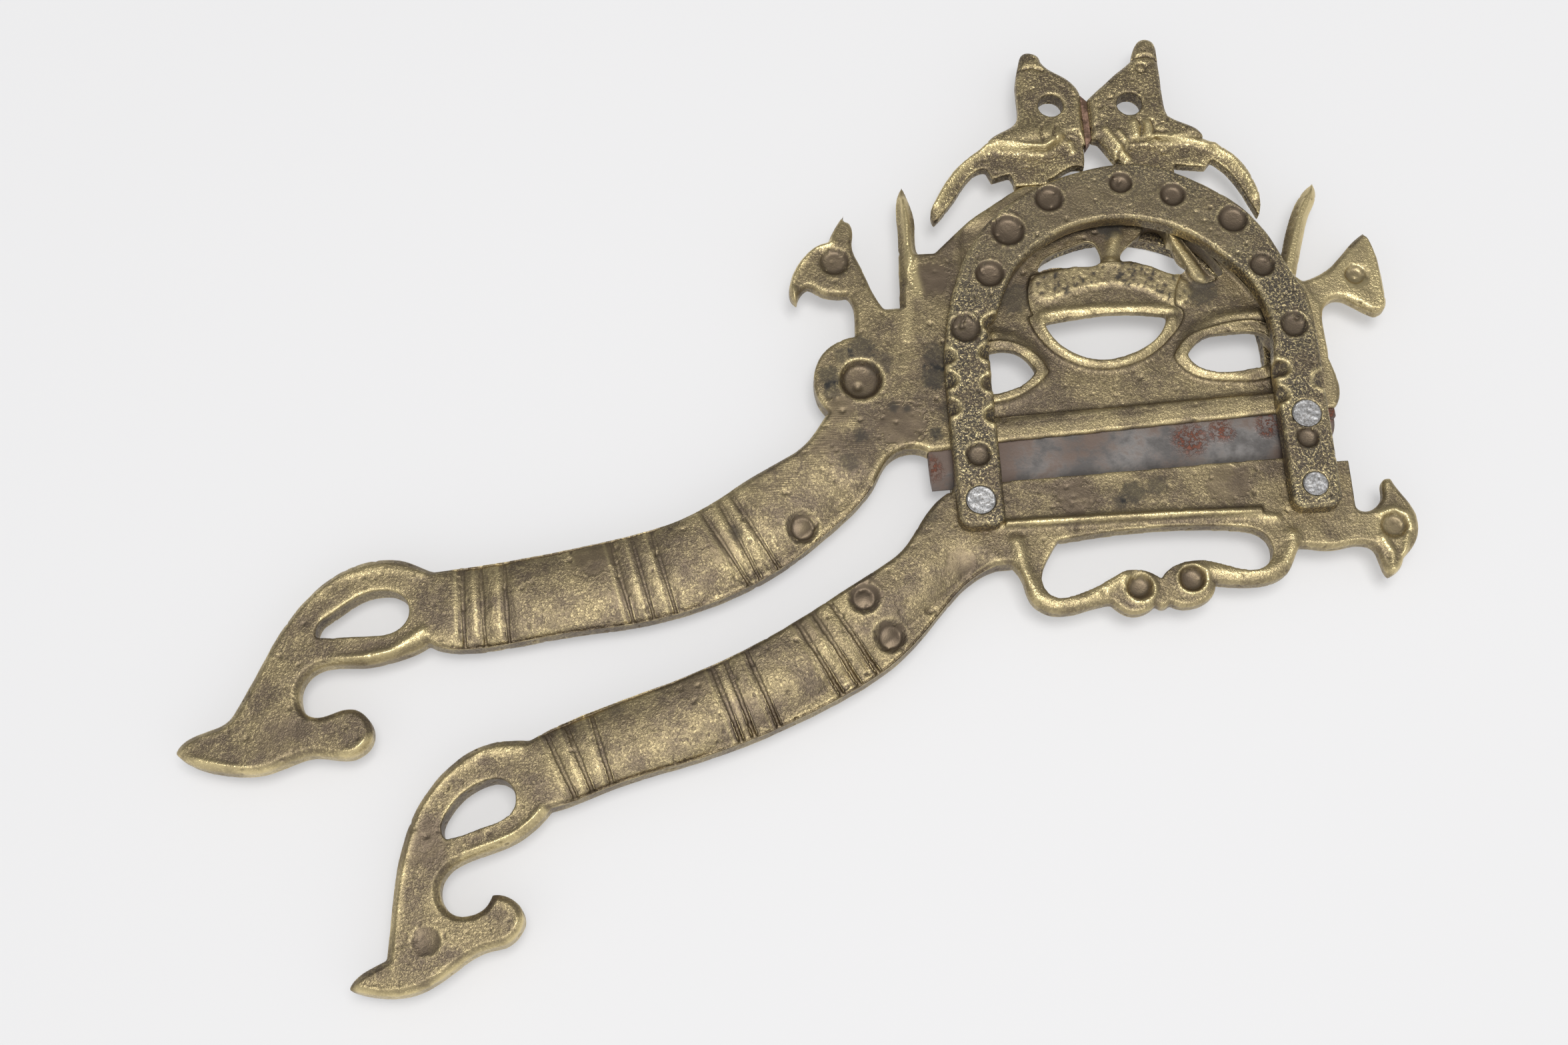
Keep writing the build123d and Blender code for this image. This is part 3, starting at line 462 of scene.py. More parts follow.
class Wax:
    """The skin of one casting, worked as points in millimetres from the hinge pin."""

    def __init__(self, name, node, skin_size):
        self.node = node
        source = frame["nodes"][node]
        self.piece = bpy.data.objects.new(name, source.data.copy())
        bpy.context.scene.collection.objects.link(self.piece)
        remesh = self.piece.modifiers.new("Even skin", "REMESH")
        remesh.mode = "VOXEL"
        remesh.voxel_size = skin_size
        graph = bpy.context.evaluated_depsgraph_get()
        mesh = bpy.data.meshes.new_from_object(self.piece.evaluated_get(graph))
        self.piece.modifiers.clear()
        self.piece.data = mesh
        mesh.name = name
        mesh.materials.clear()
        mesh.shade_smooth()
        self.points = read(mesh.vertices, "co", 3) * 1000 - PIN
        self.edges = read(mesh.edges, "vertices", 2, np.int32)
        self.counts = np.bincount(self.edges.ravel(), minlength=len(self.points)).astype(float)
        self.front = step(self.normals()[:, 2], 0.25, 0.8)
        self.paints = {name: np.zeros(len(self.points)) for name in PAINTS}

    def normals(self):
        """Direction that the skin faces at each point."""
        self.put_back()
        return read(self.piece.data.vertex_normals, "vector", 3)

    def put_back(self):
        """Writes the worked points to the mesh."""
        mesh = self.piece.data
        rows = (self.points + PIN) / 1000
        mesh.vertices.foreach_set("co", rows.ravel())
        mesh.update()

    def rubbed(self, rounds, weight=1.0):
        """Points after rubbing: each moves towards the middle of its neighbours."""
        points = self.points.copy()
        first, second = self.edges[:, 0], self.edges[:, 1]
        weight = np.asarray(weight, float)
        for _ in range(rounds):
            for axis in range(3):
                column = points[:, axis]
                total = np.bincount(first, column[second], len(points))
                total += np.bincount(second, column[first], len(points))
                column += weight * 0.5 * (total / self.counts - column)
        return points

    def rub(self, rounds, weight=1.0):
        """Rubs the skin down."""
        self.points = self.rubbed(rounds, weight)

    def lift(self, height):
        """Raises or sinks the faces that look up."""
        self.points[:, 2] += height * self.front

    def roughen(self, height):
        """Moves the skin in or out along the way it faces."""
        self.points += self.normals() * height[:, None]

    def near(self, line, reach):
        """Which points lie near a line in plan."""
        low, high = np.min(np.array(line)[:, :2], 0) - reach, np.max(np.array(line)[:, :2], 0) + reach
        return np.all((self.points[:, :2] > low) & (self.points[:, :2] < high), axis=1)

    def rib(self, line, half_width, height):
        """Raises a soft rib, or sinks a groove where the height is below nought."""
        near = self.near(line, half_width * 2.5)
        lift = np.zeros(len(self.points))
        distance, _ = line_distance(self.points[near], line)
        lift[near] = height * bump(distance, half_width)
        self.lift(lift)

    def crown(self, line, drop):
        """Lowers the sides of a bar, whose line gives x, y and half width at each point."""
        near = self.near(line, CROWN_REACH)
        points = self.points[near]
        distance, along = line_distance(points, line)
        halves = np.interp(along, np.linspace(0, 1, len(line)), [p[2] for p in line])
        share = np.clip(distance / halves, 0, 1.15)
        ends = step(along, 0.0, 0.12) * (1 - step(along, 0.9, 1.0))
        lift = np.zeros(len(self.points))
        lift[near] = -drop * share ** CROWN_POWER * ends
        self.lift(lift)

    def dish(self, x, y, radius, depth, lip=0.0):
        """Presses a round hollow with a soft lip round it."""
        distance = np.hypot(self.points[:, 0] - x, self.points[:, 1] - y)
        self.lift(-depth * np.clip(1 - (distance / radius) ** 2, 0, 1) + lip * bump(distance - radius, 0.5))

    def paint(self, name, near, amount):
        """Adds brightening, stain or darkening to some of the points: polishing and painted highlights,
        stains, dirt and painted shade.
        """
        self.paints[name][near] += amount

    def ridge(self, line, half_width, height, polish_and_sheen):
        """Raises a soft ridge, or cuts a soft groove, and brightens or dulls it: polishing on some ridges, a
        painted highlight on others.
        """
        self.rib(line, half_width, height)
        self.stain(line, half_width, "polish_and_highlight", polish_and_sheen)

    def stain(self, line, half_width, name, amount):
        """Paints a soft stripe."""
        near = self.near(line, half_width * 2.5)
        distance, _ = line_distance(self.points[near], line)
        self.paint(name, near, amount * bump(distance, half_width))

    def spot(self, name, x, y, radius, amount):
        """Paints a ragged round patch."""
        near = self.near([(x, y)], radius * 1.8)
        points = self.points[near]
        ragged = radius * (1 + 0.45 * waves(points, 0.8, PATCH_SEED, 3))
        distance = np.hypot(points[:, 0] - x, points[:, 1] - y)
        self.paint(name, near, amount * step(ragged - distance, -0.5, 0.5))

    def ring(self, x, y, radius, width, height, polish_and_sheen):
        """Raises or cuts a ring and polishes it."""
        near = self.near([(x, y)], radius + 3 * width)
        distance = np.hypot(self.points[near, 0] - x, self.points[near, 1] - y)
        round_it = bump(distance - radius, width)
        lift = np.zeros(len(self.points))
        lift[near] = height * round_it
        self.lift(lift)
        self.paint("polish_and_highlight", near, polish_and_sheen * round_it)

    def troughs(self, pairs, where):
        """Rounds the grooves across a handle and greys them, with a painted highlight along one side of
        each.
        """
        for pair in pairs:
            line = place(pair, where)
            self.rib(line, GROOVE_CORE, GROOVE_FILL)
            self.rib(line, GROOVE_HALF, -GROOVE_SINK)
            self.stain(line, GROOVE_HALF, "stained", GROOVE_STAIN)
            self.stain(line, GROOVE_HALF, "polish_and_highlight", GROOVE_DULL)
            # painted highlight along one side of the groove
            side = [(x - GROOVE_SIDE, y) for x, y in line]
            self.stain(side, SIDE_HALF, "polish_and_highlight", SIDE_HIGHLIGHT)

    def clear(self, reach, level):
        """Rubs everything near the pin down to a level, so that it passes under the front guard."""
        high = (np.hypot(self.points[:, 0], self.points[:, 1]) < reach) & (self.points[:, 2] > level)
        self.points[high, 2] = level

    def mark(self):
        """Writes where the skin's edges stand out, where it is hollow and what is painted on it, for the
        finish to read.
        """
        normals = self.normals()
        mesh = self.piece.data
        for name, amount in self.paints.items():
            layer = mesh.attributes.new(name, "FLOAT", "POINT")
            layer.data.foreach_set("value", np.clip(amount, 0, 1).astype(np.float32))
        for name, rounds, full in BENDS:
            bend = np.sum((self.points - self.rubbed(rounds)) * normals, axis=1) / full
            for side, sign in (("edge", 1), ("hollow", -1)):
                layer = mesh.attributes.new(f"{name}_{side}", "FLOAT", "POINT")
                layer.data.foreach_set("value", np.clip(sign * bend, 0, 1).astype(np.float32))


# Finishes: small helpers that read as one line for each step of a material

def add(tree, kind, values=None, **settings):
    """Node of a kind with its settings, and with each input set or joined to a socket."""
    made = tree.nodes.new(kind)
    for name, value in settings.items():
        setattr(made, name, value)
    for key, value in (values or {}).items():
        if isinstance(value, bpy.types.NodeSocket):
            tree.links.new(value, made.inputs[key])
        else:
            made.inputs[key].default_value = value
    return made


def sum_of(tree, operation, first, second, clamp=False):
    """Result of one step of arithmetic."""
    made = add(tree, "ShaderNodeMath", {0: first, 1: second}, operation=operation, use_clamp=clamp)
    return made.outputs[0]


def times(tree, first, second):
    """Product of two values."""
    return sum_of(tree, "MULTIPLY", first, second)


def plus(tree, first, second, clamp=False):
    """Two values added."""
    return sum_of(tree, "ADD", first, second, clamp)


def larger(tree, first, second):
    """The larger of two values."""
    return sum_of(tree, "MAXIMUM", first, second)


def less(tree, first, second):
    """What is left of a value, and never under nought."""
    return sum_of(tree, "SUBTRACT", first, second, True)


def ranged(tree, value, low, high, to_low=0.0, to_high=1.0):
    """Value stretched smoothly from one range to another."""
    return add(tree, "ShaderNodeMapRange", {0: value, 1: low, 2: high, 3: to_low, 4: to_high},
               interpolation_type="SMOOTHSTEP").outputs[0]


def mixed(tree, factor, first, second):
    """Colour between two colours."""
    return add(tree, "ShaderNodeMix", {0: factor, 6: first, 7: second}, data_type="RGBA").outputs[2]


def speckle(tree, where, scale, detail=3.0, roughness=0.55, distortion=0.0):
    """Noise in waves of about 1/scale millimetres."""
    return add(tree, "ShaderNodeTexNoise", {"Vector": where, "Scale": scale, "Detail": detail,
               "Roughness": roughness, "Distortion": distortion}).outputs[0]


def layer(tree, name):
    """Value that a casting's skin carries."""
    return add(tree, "ShaderNodeAttribute", attribute_name=name).outputs["Fac"]


def colour(values):
    """Colour with its alpha."""
    return (*values, 1.0)


def bumped(tree, shader, height, distance):
    """Gives the shader a relief of a height, and a distance in metres."""
    relief = add(tree, "ShaderNodeBump", {"Height": height, "Strength": 1.0, "Distance": distance})
    tree.links.new(relief.outputs[0], shader.inputs["Normal"])


def new_finish(name):
    """Empty material, its tree, its shader and a place in millimetres."""
    finish = bpy.data.materials.new(name)
    finish.use_nodes = True
    tree = finish.node_tree
    shader = tree.nodes["Principled BSDF"]
    where = add(tree, "ShaderNodeTexCoord").outputs["Object"]
    scaled = add(tree, "ShaderNodeMapping", {"Vector": where, "Scale": (1000.0, 1000.0, 1000.0)}).outputs[0]
    return finish, tree, shader, scaled


def wear_and_highlight_share(tree, grain, fine, patch, edge, smooth_left, shine):
    """How bright the brass is: gold tops of the grain, bare edges, polishing and painted highlights."""
    tops = plus(tree, grain, times(tree, fine, 0.2))
    tops = ranged(tree, tops, 0.62, 0.72, 0.0, shine)
    wear_and_highlight = times(tree, tops, ranged(tree, patch, 0.36, 0.56, 0.35, 1.0))
    wear_and_highlight = times(tree, wear_and_highlight, smooth_left)
    wear_and_highlight = plus(tree, wear_and_highlight, times(tree, edge, 0.85))
    return plus(tree, wear_and_highlight, times(tree, layer(tree, "polish_and_highlight"), 0.8), clamp=True)


def brown_share(tree, where, edge, smooth):
    """How brown the brass is: stains and hollows, but not where it is kept bright."""
    stain = speckle(tree, where, *SKIN_STAINS)
    hollow = larger(tree, layer(tree, "fine_hollow"), layer(tree, "broad_hollow"))
    browned = larger(tree, ranged(tree, stain, 0.54, 0.68, 0.0, 0.55), smooth)
    browned = larger(tree, browned, times(tree, hollow, 0.35))
    kept = larger(tree, times(tree, edge, 0.7), times(tree, layer(tree, "polish_and_highlight"), 0.8))
    return less(tree, browned, kept)


def brass_relief(tree, where, grain, fine, smooth):
    """Height of the cast grain, with file marks in its place on the filed faces."""
    height = plus(tree, grain, times(tree, fine, 0.25))
    height = times(tree, height, ranged(tree, smooth, 0.0, 0.7, 1.0, 0.25))
    turned = add(tree, "ShaderNodeMapping", {"Vector": where, "Rotation": (0, 0, FILE_TURN),
                 "Scale": FILE_SCALE}).outputs[0]
    scratches = times(tree, speckle(tree, turned, *FILE_MARKS), 0.6)
    return add(tree, "ShaderNodeMix", {0: layer(tree, "filed"), 2: height, 3: scratches}).outputs[0]


def brass_finish(name, brass, skin_colour, shine, pits, relief):
    """Aged cast brass: a dull skin with gold grain, bright edges, brown hollows and black pits, and the
    painted highlights and painted shade that the skin carries.
    """
    finish, tree, shader, where = new_finish(name)
    grain = speckle(tree, where, 1.0 / brass.grain_width, *CAST_GRAIN)
    fine = speckle(tree, where, *FINE_GRAIN)
    patch = speckle(tree, where, *SKIN_PATCHES)
    edge = larger(tree, layer(tree, "fine_edge"), layer(tree, "broad_edge"))
    edge = times(tree, edge, ranged(tree, speckle(tree, where, *EDGE_WEAR), 0.4, 0.6, 0.08, 0.65))
    smooth = layer(tree, "stained")
    smooth_left = less(tree, 1.0, times(tree, smooth, 1.1))
    skin = mixed(tree, ranged(tree, patch, 0.38, 0.62), colour(brass.grey), colour(skin_colour))
    wear_and_highlight = wear_and_highlight_share(tree, grain, fine, patch, edge, smooth_left, shine)
    base = mixed(tree, wear_and_highlight, skin, colour(brass.bright))
    base = mixed(tree, brown_share(tree, where, edge, smooth), base, colour(brass.brown))
    valley = times(tree, ranged(tree, grain, 0.48, 0.36, 0.0, pits), smooth_left)
    # black in the grain's valleys and in the dirt_and_shade layer: dirt, and painted shade in the hole of
    # the plate's ring
    dirt = less(tree, larger(tree, valley, layer(tree, "dirt_and_shade")), times(tree, edge, 0.8))
    base = mixed(tree, dirt, base, colour(brass.black))
    tree.links.new(base, shader.inputs["Base Color"])
    tree.links.new(ranged(tree, dirt, 0.0, 1.0, 0.9, 0.3), shader.inputs["Metallic"])
    rough = plus(tree, ranged(tree, wear_and_highlight, 0.0, 1.0, 0.46, 0.32), times(tree, dirt, 0.3))
    tree.links.new(rough, shader.inputs["Roughness"])
    bumped(tree, shader, brass_relief(tree, where, grain, fine, smooth), relief)
    return finish


def rust_patch(tree, where, x, y, radius, ragged):
    """1 near a place of the blade and 0 away from it, with a ragged edge."""
    centre = (PIN[0] + x, PIN[1] + y, BLADE_LEVEL)
    away = add(tree, "ShaderNodeVectorMath", {0: where, 1: centre}, operation="DISTANCE").outputs["Value"]
    away = plus(tree, away, times(tree, ragged, radius))
    return ranged(tree, away, 0.9 * radius, 1.5 * radius, 1.0, 0.0)


def steel_finish(name, fittings):
    """Old blade steel: dull grey clouds and brown stains, with rust where it meets the plate."""
    finish, tree, shader, where = new_finish(name)
    cloud = speckle(tree, where, *STEEL_CLOUDS)
    stain = speckle(tree, where, *STEEL_STAINS)
    crust = speckle(tree, where, *RUST_CRUST)
    clouds = ranged(tree, cloud, 0.38, 0.66)
    base = mixed(tree, clouds, colour(fittings.steel_dark), colour(fittings.steel_light))
    base = mixed(tree, ranged(tree, stain, 0.42, 0.58, 0.0, 0.75), base, colour(fittings.steel_brown))
    patches = 0.0
    for x, y, radius in RUST_PATCHES:
        patches = larger(tree, patches, rust_patch(tree, where, x, y, radius, cloud))
    rusty = times(tree, ranged(tree, crust, 0.45, 0.6, 0.15, 1.0), patches)
    base = mixed(tree, rusty, base, colour(fittings.rust))
    tree.links.new(base, shader.inputs["Base Color"])
    tree.links.new(ranged(tree, rusty, 0.0, 1.0, 0.7, 0.0), shader.inputs["Metallic"])
    tree.links.new(ranged(tree, stain, 0.4, 0.7, 0.45, 0.65), shader.inputs["Roughness"])
    height = plus(tree, times(tree, crust, rusty), times(tree, crust, 0.15))
    bumped(tree, shader, height, 0.0002)
    return finish


def rivet_finish(name, fittings):
    """Grey rivet metal, flattened by the hammer."""
    finish, tree, shader, where = new_finish(name)
    facet = add(tree, "ShaderNodeTexVoronoi", {"Vector": where, "Scale": HAMMER_FACETS}, feature="SMOOTH_F1")
    fine = speckle(tree, where, *RIVET_GRAIN)
    marks = ranged(tree, fine, 0.35, 0.65)
    base = mixed(tree, marks, colour(fittings.rivet_dark), colour(fittings.rivet_light))
    tree.links.new(base, shader.inputs["Base Color"])
    shader.inputs["Metallic"].default_value = 0.9
    tree.links.new(ranged(tree, fine, 0.3, 0.7, 0.55, 0.35), shader.inputs["Roughness"])
    bumped(tree, shader, plus(tree, facet.outputs[0], times(tree, fine, 0.3)), 0.00012)
    return finish


def copper_finish(name, fittings):
    """Copper-coloured filler between the birds."""
    finish, tree, shader, where = new_finish(name)
    patch = speckle(tree, where, *COPPER_PATCHES)
    tarnish = ranged(tree, patch, 0.4, 0.65)
    base = mixed(tree, tarnish, colour(fittings.copper_dark), colour(fittings.copper_light))
    tree.links.new(base, shader.inputs["Base Color"])
    shader.inputs["Metallic"].default_value = 0.8
    tree.links.new(ranged(tree, patch, 0.3, 0.7, 0.65, 0.45), shader.inputs["Roughness"])
    bumped(tree, shader, patch, 0.0002)
    return finish


def fitted(wax, finish, body):
    """Gives a worked piece its finish, and puts it where its CAD node was."""
    wax.piece.data.materials.append(finish)
    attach(wax.piece, body)
    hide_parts(wax.node)


def dress(node, finish):
    """Gives a CAD node that stays its finish."""
    mesh = frame["nodes"][node].data
    mesh.materials.clear()
    mesh.materials.append(finish)


def finish_casting(wax, casting):
    """Last work on every casting: slow waves, open pores and rubbed edges."""
    seed = SEEDS[wax.node]
    wax.roughen(casting.swell * waves(wax.points, width=3.5, seed=seed))
    pores = waves(wax.points, width=0.9, seed=seed + 1, depth=1)
    wax.roughen(-casting.pitting * step(pores, 0.42, 0.75))
    wax.rub(1)
    if wax.node == "upper_arm":
        wax.clear(GUARD_REACH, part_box("front_guard")[0].z * 1000 - GUARD_GAP)
    wax.mark()


def relieve_scroll(wax, where, rims, back_highlights):
    """Raises the rims of a scroll's beak and hook, polishes them and gives them a painted highlight, and
    paints a highlight along its back edge.
    """
    for rim in rims:
        wax.ridge(place(rim, where), half_width=0.75, height=0.35, polish_and_sheen=0.6)
    # painted highlight along the back edge
    for back in back_highlights:
        wax.ridge(place(back, where), half_width=0.8, height=0.15, polish_and_sheen=0.35)


def press_dots(wax, dots):
    """Stamped dots: a dark ring round a middle that stands up a little."""
    for x, y in dots:
        wax.dish(x, y, 0.7 * DOT_RADIUS, depth=-0.25)
        wax.ring(x, y, DOT_RADIUS, width=0.3, height=-0.1, polish_and_sheen=-0.4)
        wax.ring(x, y, DOT_RADIUS + 0.6, width=0.35, height=0.05, polish_and_sheen=0.1)
        wax.spot("stained", x, y, DOT_RADIUS, amount=0.75)


def sink_field(wax):
    """Lowers the field of the plate inside the guard, so that its ribs stand up from it."""
    x, y = wax.points[:, 0], wax.points[:, 1]
    low = FIELD_LOW + FIELD_CLIMB * x
    past_right = step(x, FIELD_RIGHT - FIELD_EDGE, FIELD_RIGHT)
    past_high = step(y, FIELD_HIGH - FIELD_HIGH_EDGE, FIELD_HIGH)
    inside = step(x, FIELD_LEFT, FIELD_LEFT + FIELD_EDGE) * (1 - past_right)
    inside *= step(y, low, low + FIELD_LOW_EDGE) * (1 - past_high)
    wax.lift(-FIELD_DROP * inside)


def work_band(wax):
    """The spongy raised band over the crescent."""
    near = wax.near(BAND, 2 * BAND_HALF)
    points = wax.points[near]
    distance, _ = line_distance(points, BAND)
    inside = 1 - step(distance, BAND_HALF, BAND_END)
    sponge = waves(points, width=0.7, seed=SPONGE_SEED)
    lift = np.zeros(len(wax.points))
    lift[near] = inside * (BAND_HEIGHT + 0.06 * sponge)
    wax.lift(lift)
    wax.paint("polish_and_highlight", near, inside * (0.3 + 0.4 * sponge))
    wax.paint("dirt_and_shade", near, 0.8 * inside * step(-sponge, 0.35, 0.6))


def brown_crown(wax):
    """Browns the crown of the plate, behind the guard and under the birds."""
    x, y = wax.points[:, 0], wax.points[:, 1]
    share = step(y, CROWN_LOW, CROWN_FULL_LOW) * step(x, CROWN_LEFT, CROWN_FULL_LEFT)
    wax.paint("stained", share > 0, 0.3 * share[share > 0])


def raise_ribs(wax, ribs):
    """Raises the ribs of a casting, and cuts those that lie below nought."""
    for line, half_width, height, polish_and_sheen in ribs:
        wax.ridge(line, half_width, height, polish_and_sheen)


def paint_skin(wax, shine, patches):
    """Paints where an arm is rubbed bright, stained or dark with dirt, and the painted shade in the hole of
    the plate's ring.
    """
    for line, half_width, polish_and_sheen in shine:
        wax.stain(line, half_width, "polish_and_highlight", polish_and_sheen)
    for paint, places in patches.items():
        for spot in places:
            wax.spot(paint, *spot)


class CUTTER_OT_lower_arm(bpy.types.Operator):
    """Works the anvil arm with its scroll, handle, loop and bird head"""
    bl_idname = "cutter.lower_arm"
    bl_label = "Lower arm"

    def execute(self, context):
        casting, brass = context.scene.cutter_casting, context.scene.cutter_brass
        wax = Wax("lower_casting", "lower_arm", casting.skin_size)
        wax.rub(casting.rubbing)
        wax.crown(LOW_HANDLE_LINE, casting.crown)
        wax.troughs(LOW_GROOVES, LOW_HANDLE)
        relieve_scroll(wax, LOW_SCROLL, LOW_SCROLL_RIMS, LOW_SCROLL_BACK_HIGHLIGHTS)
        (x, y), = place([LOW_SCROLL_EYE], LOW_SCROLL)
        wax.dish(x, y, radius=2.5, depth=0.3, lip=0.05)
        wax.spot("stained", x, y, radius=2.2, amount=0.45)
        press_dots(wax, place(LOW_DOTS, LOW_HANDLE))
        raise_ribs(wax, LOWER_RIBS)
        for x, y, radius in LOOP_CUPS:
            wax.dish(x, y, radius, depth=0.3)
            wax.ring(x, y, radius, width=0.5, height=0.4, polish_and_sheen=0.5)
        paint_skin(wax, LOWER_SHINE, LOWER_PATCHES)
        finish_casting(wax, casting)
        finish = brass_finish("lower_brass", brass, brass.olive, shine=0.3, pits=0.2, relief=0.0001)
        fitted(wax, finish, "lower")
        return {"FINISHED"}


class CUTTER_OT_upper_arm(bpy.types.Operator):
    """Works the blade arm with its scroll, handle, boss, bird heads, spikes and pierced plate"""
    bl_idname = "cutter.upper_arm"
    bl_label = "Upper arm"

    def execute(self, context):
        casting, brass = context.scene.cutter_casting, context.scene.cutter_brass
        wax = Wax("upper_casting", "upper_arm", casting.skin_size)
        wax.rub(casting.rubbing)
        wax.crown(HANDLE_LINE, casting.crown)
        wax.troughs(GROOVES, HANDLE)
        relieve_scroll(wax, SCROLL, SCROLL_RIMS, SCROLL_BACK_HIGHLIGHTS)
        press_dots(wax, place(DOTS, HANDLE))
        sink_field(wax)
        raise_ribs(wax, PLATE_RIBS)
        work_band(wax)
        wax.stain(PLATE_GAP, 0.7, "stained", amount=0.8)
        wax.dish(*BOSS_BOWL, depth=0.3)
        wax.ring(*BOSS_BOWL, width=0.35, height=0.05, polish_and_sheen=0.3)
        wax.dish(*BOSS_PIT, depth=0.3)
        wax.stain(FILED_FACE, 5.0, "filed", amount=1.4)
        paint_skin(wax, UPPER_SHINE, UPPER_PATCHES)
        brown_crown(wax)
        finish_casting(wax, casting)
        finish = brass_finish("upper_brass", brass, brass.olive, shine=0.36, pits=0.2, relief=0.0001)
        fitted(wax, finish, "upper")
        return {"FINISHED"}


def punch_guard(wax):
    """Smooth brown cups, and bright teeth between the gouges."""
    for share_x, share_y, radius in GUARD_CUPS:
        (x, y), = place([(share_x, share_y)], PLATE)
        wax.dish(x, y, radius, depth=0.2)
        wax.spot("stained", x, y, radius, amount=0.75)
        wax.stain([(x - 0.1, y), (x + 0.1, y)], radius, "polish_and_highlight", amount=-0.5)
        wax.ring(x, y, radius + 0.3, width=0.35, height=0.05, polish_and_sheen=0.2)
    wax.stain(GUARD_TOP, GUARD_HALF, "stained", amount=0.45)
    wax.stain(GUARD_TOP, GUARD_HALF, "polish_and_highlight", amount=0.25)
    for x, y in place(GUARD_GOUGES, PLATE):
        wax.ring(x, y, GOUGE_RADIUS + 0.5, width=0.4, height=0.1, polish_and_sheen=0.7)


class CUTTER_OT_guards(bpy.types.Operator):
    """Works the two horseshoe guards"""
    bl_idname = "cutter.guards"
    bl_label = "Guards"

    def execute(self, context):
        casting, brass = context.scene.cutter_casting, context.scene.cutter_brass
        finish = brass_finish("guard_brass", brass, brass.slate, shine=0.85, pits=0.5, relief=0.00014)
        for node in ("front_guard", "back_guard"):
            wax = Wax(node.replace("guard", "horseshoe"), node, casting.small_skin_size)
            wax.rub(casting.rubbing)
            if node == "front_guard":
                punch_guard(wax)
            finish_casting(wax, casting)
            fitted(wax, finish, "lower")
        return {"FINISHED"}


class CUTTER_OT_birds(bpy.types.Operator):
    """Works the pair of birds and the filler between them"""
    bl_idname = "cutter.birds"
    bl_label = "Birds"

    def execute(self, context):
        casting, brass = context.scene.cutter_casting, context.scene.cutter_brass
        finish = brass_finish("bird_brass", brass, brass.olive, shine=0.85, pits=0.2, relief=0.00014)
        for node, lines in (("left_bird", LEFT_BIRD_LINES), ("right_bird", RIGHT_BIRD_LINES)):
            wax = Wax(node.replace("bird", "bird_casting"), node, casting.small_skin_size)
            wax.rub(2 * casting.rubbing)
            raise_ribs(wax, lines)
            if node == "right_bird":
                wax.ring(*RIGHT_BIRD_EYE, radius=0.8, width=0.25, height=-0.3, polish_and_sheen=-0.3)
            finish_casting(wax, casting)
            fitted(wax, finish, "upper")
        dress("bird_braze", copper_finish("braze_copper_finish", context.scene.cutter_fittings))
        return {"FINISHED"}


class CUTTER_OT_blade(bpy.types.Operator):
    """Gives the blade its dull and rusted steel"""
    bl_idname = "cutter.blade"
    bl_label = "Blade"

    def execute(self, context):
        dress("blade", steel_finish("blade_steel_finish", context.scene.cutter_fittings))
        return {"FINISHED"}


class CUTTER_OT_rivets(bpy.types.Operator):
    """Gives the three rivets their hammered grey metal"""
    bl_idname = "cutter.rivets"
    bl_label = "Rivets"

    def execute(self, context):
        finish = rivet_finish("rivet_grey", context.scene.cutter_fittings)
        for node in ("pivot_rivet", "left_guard_rivet", "right_guard_rivet"):
            dress(node, finish)
        return {"FINISHED"}


def hang_lamp(stage):
    """Square soft lamp overhead, turned to the object."""
    data = bpy.data.lights.new("ceiling", "AREA")
    data.shape = "SQUARE"
    data.size = stage.lamp_size
    data.energy = stage.lamp_power
    data.color = LAMP_TINT
    made = bpy.data.objects.new("ceiling", data)
    made.location = LAMP_SPOT
    made.rotation_euler = (-Vector(LAMP_SPOT)).to_track_quat("-Z", "Y").to_euler()
    bpy.context.scene.collection.objects.link(made)


def seen_or_mirrored(tree):
    """1 for what the camera or a mirror of metal sees, 0 for what lights the object."""
    path = add(tree, "ShaderNodeLightPath").outputs
    return larger(tree, path["Is Camera Ray"], path["Is Glossy Ray"])


def floor_paint(stage):
    """Pale floor, whose own glow keeps its shadows light."""
    finish, tree, shader, _ = new_finish("floor_paint")
    shader.inputs["Base Color"].default_value = colour(stage.floor_colour)
    shader.inputs["Roughness"].default_value = 0.9
    glow = add(tree, "ShaderNodeEmission", {"Color": colour(stage.floor_glow)})
    where = add(tree, "ShaderNodeTexCoord").outputs["Object"]
    away = add(tree, "ShaderNodeVectorMath", {0: where}, operation="LENGTH").outputs["Value"]
    lit = ranged(tree, away, stage.shadow_reach, 4 * stage.shadow_reach, stage.glow_share, 1.0)
    share = times(tree, seen_or_mirrored(tree), lit)
    both = add(tree, "ShaderNodeMixShader", {0: share})
    tree.links.new(shader.outputs[0], both.inputs[1])
    tree.links.new(glow.outputs[0], both.inputs[2])
    tree.links.new(both.outputs[0], tree.nodes["Material Output"].inputs["Surface"])
    return finish


def studio(stage):
    """Soft surroundings, brighter below the picture than above it, and white where the camera sees them."""
    world = bpy.data.worlds.new("studio")
    world.use_nodes = True
    tree = world.node_tree
    back = tree.nodes["Background"]
    way = add(tree, "ShaderNodeSeparateXYZ", {0: add(tree, "ShaderNodeTexCoord").outputs["Generated"]})
    glow = ranged(tree, way.outputs[1], -0.8, 0.7, stage.near_light, stage.far_light)
    camera = add(tree, "ShaderNodeLightPath").outputs["Is Camera Ray"]
    level = larger(tree, glow, times(tree, camera, SKY_LEVEL))
    tree.links.new(add(tree, "ShaderNodeCombineColor", {0: level, 1: level, 2: level}).outputs[0],
                   back.inputs["Color"])
    return world


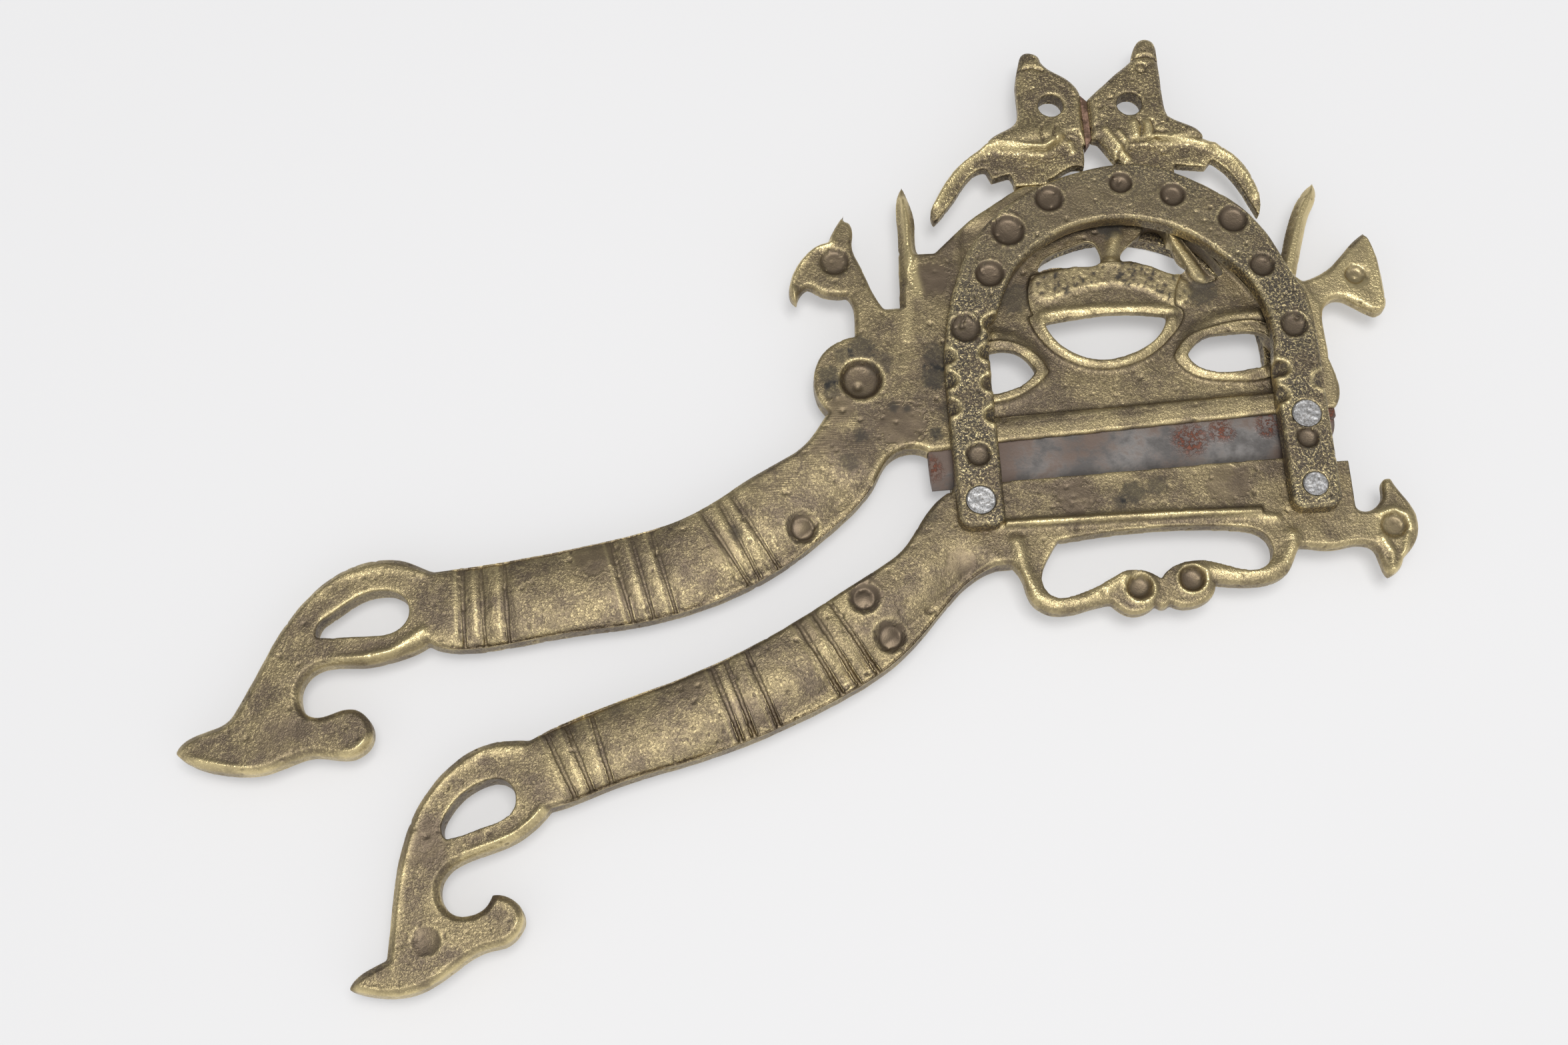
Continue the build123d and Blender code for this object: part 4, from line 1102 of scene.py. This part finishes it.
class CUTTER_OT_stage(bpy.types.Operator):
    """Sets out the floor, the lamp, the world and the camera"""
    bl_idname = "cutter.stage"
    bl_label = "Stage"

    def execute(self, context):
        scene = context.scene
        stage = scene.cutter_stage
        bpy.ops.mesh.primitive_plane_add(size=FLOOR_SIZE, location=(0, 0, -FLOOR_DROP))
        floor = context.object
        floor.name = "floor"
        floor.data.materials.append(floor_paint(stage))
        hang_lamp(stage)
        scene.world = studio(stage)
        data = bpy.data.cameras.new("camera")
        data.lens = stage.lens
        data.sensor_width = 36.0
        data.clip_start = 0.01
        camera = bpy.data.objects.new("camera", data)
        scene.collection.objects.link(camera)
        across = Vector((math.sin(stage.roll), math.cos(stage.roll), 0))
        target = Vector((PIN + np.array(VIEW_CENTRE)) / 1000)
        away = Vector((0, 0, math.cos(stage.tilt))) - across * math.sin(stage.tilt)
        camera.location = target + away * stage.reach
        camera.rotation_euler = (stage.tilt, 0, -stage.roll)
        scene.camera = camera
        scene.view_settings.view_transform = "Standard"
        return {"FINISHED"}


class CUTTER_PT_panel(bpy.types.Panel):
    """Settings and steps of the nut cutter"""
    bl_label = "Nut Cutter"
    bl_idname = "CUTTER_PT_panel"
    bl_space_type = "VIEW_3D"
    bl_region_type = "UI"
    bl_category = "Nut Cutter"

    def draw(self, context):
        for group_name in GROUPS:
            group = getattr(context.scene, group_name)
            box = self.layout.box()
            for name in group.bl_rna.properties.keys():
                if name not in ("rna_type", "name"):
                    box.prop(group, name)
        for operator in OPERATORS:
            self.layout.operator(operator.bl_idname)


OPERATORS = (
    CUTTER_OT_lower_arm, CUTTER_OT_upper_arm, CUTTER_OT_guards, CUTTER_OT_birds, CUTTER_OT_blade,
    CUTTER_OT_rivets, CUTTER_OT_stage,
)
GROUPS = {
    "cutter_casting": CastingSettings,
    "cutter_brass": BrassSettings,
    "cutter_fittings": FittingSettings,
    "cutter_stage": StageSettings,
}


def register():
    """Registers the settings, the operators and the panel."""
    for name, group in GROUPS.items():
        bpy.utils.register_class(group)
        setattr(bpy.types.Scene, name, bpy.props.PointerProperty(type=group))
    for operator in OPERATORS:
        bpy.utils.register_class(operator)
    bpy.utils.register_class(CUTTER_PT_panel)


def unregister():
    """Takes everything out again."""
    bpy.utils.unregister_class(CUTTER_PT_panel)
    for operator in reversed(OPERATORS):
        bpy.utils.unregister_class(operator)
    for name, group in GROUPS.items():
        delattr(bpy.types.Scene, name)
        bpy.utils.unregister_class(group)


def main():
    """Makes the whole cutter."""
    register()
    bpy.ops.cutter.lower_arm()
    bpy.ops.cutter.upper_arm()
    bpy.ops.cutter.guards()
    bpy.ops.cutter.birds()
    bpy.ops.cutter.blade()
    bpy.ops.cutter.rivets()
    bpy.ops.cutter.stage()


if __name__ == "__main__":
    main()
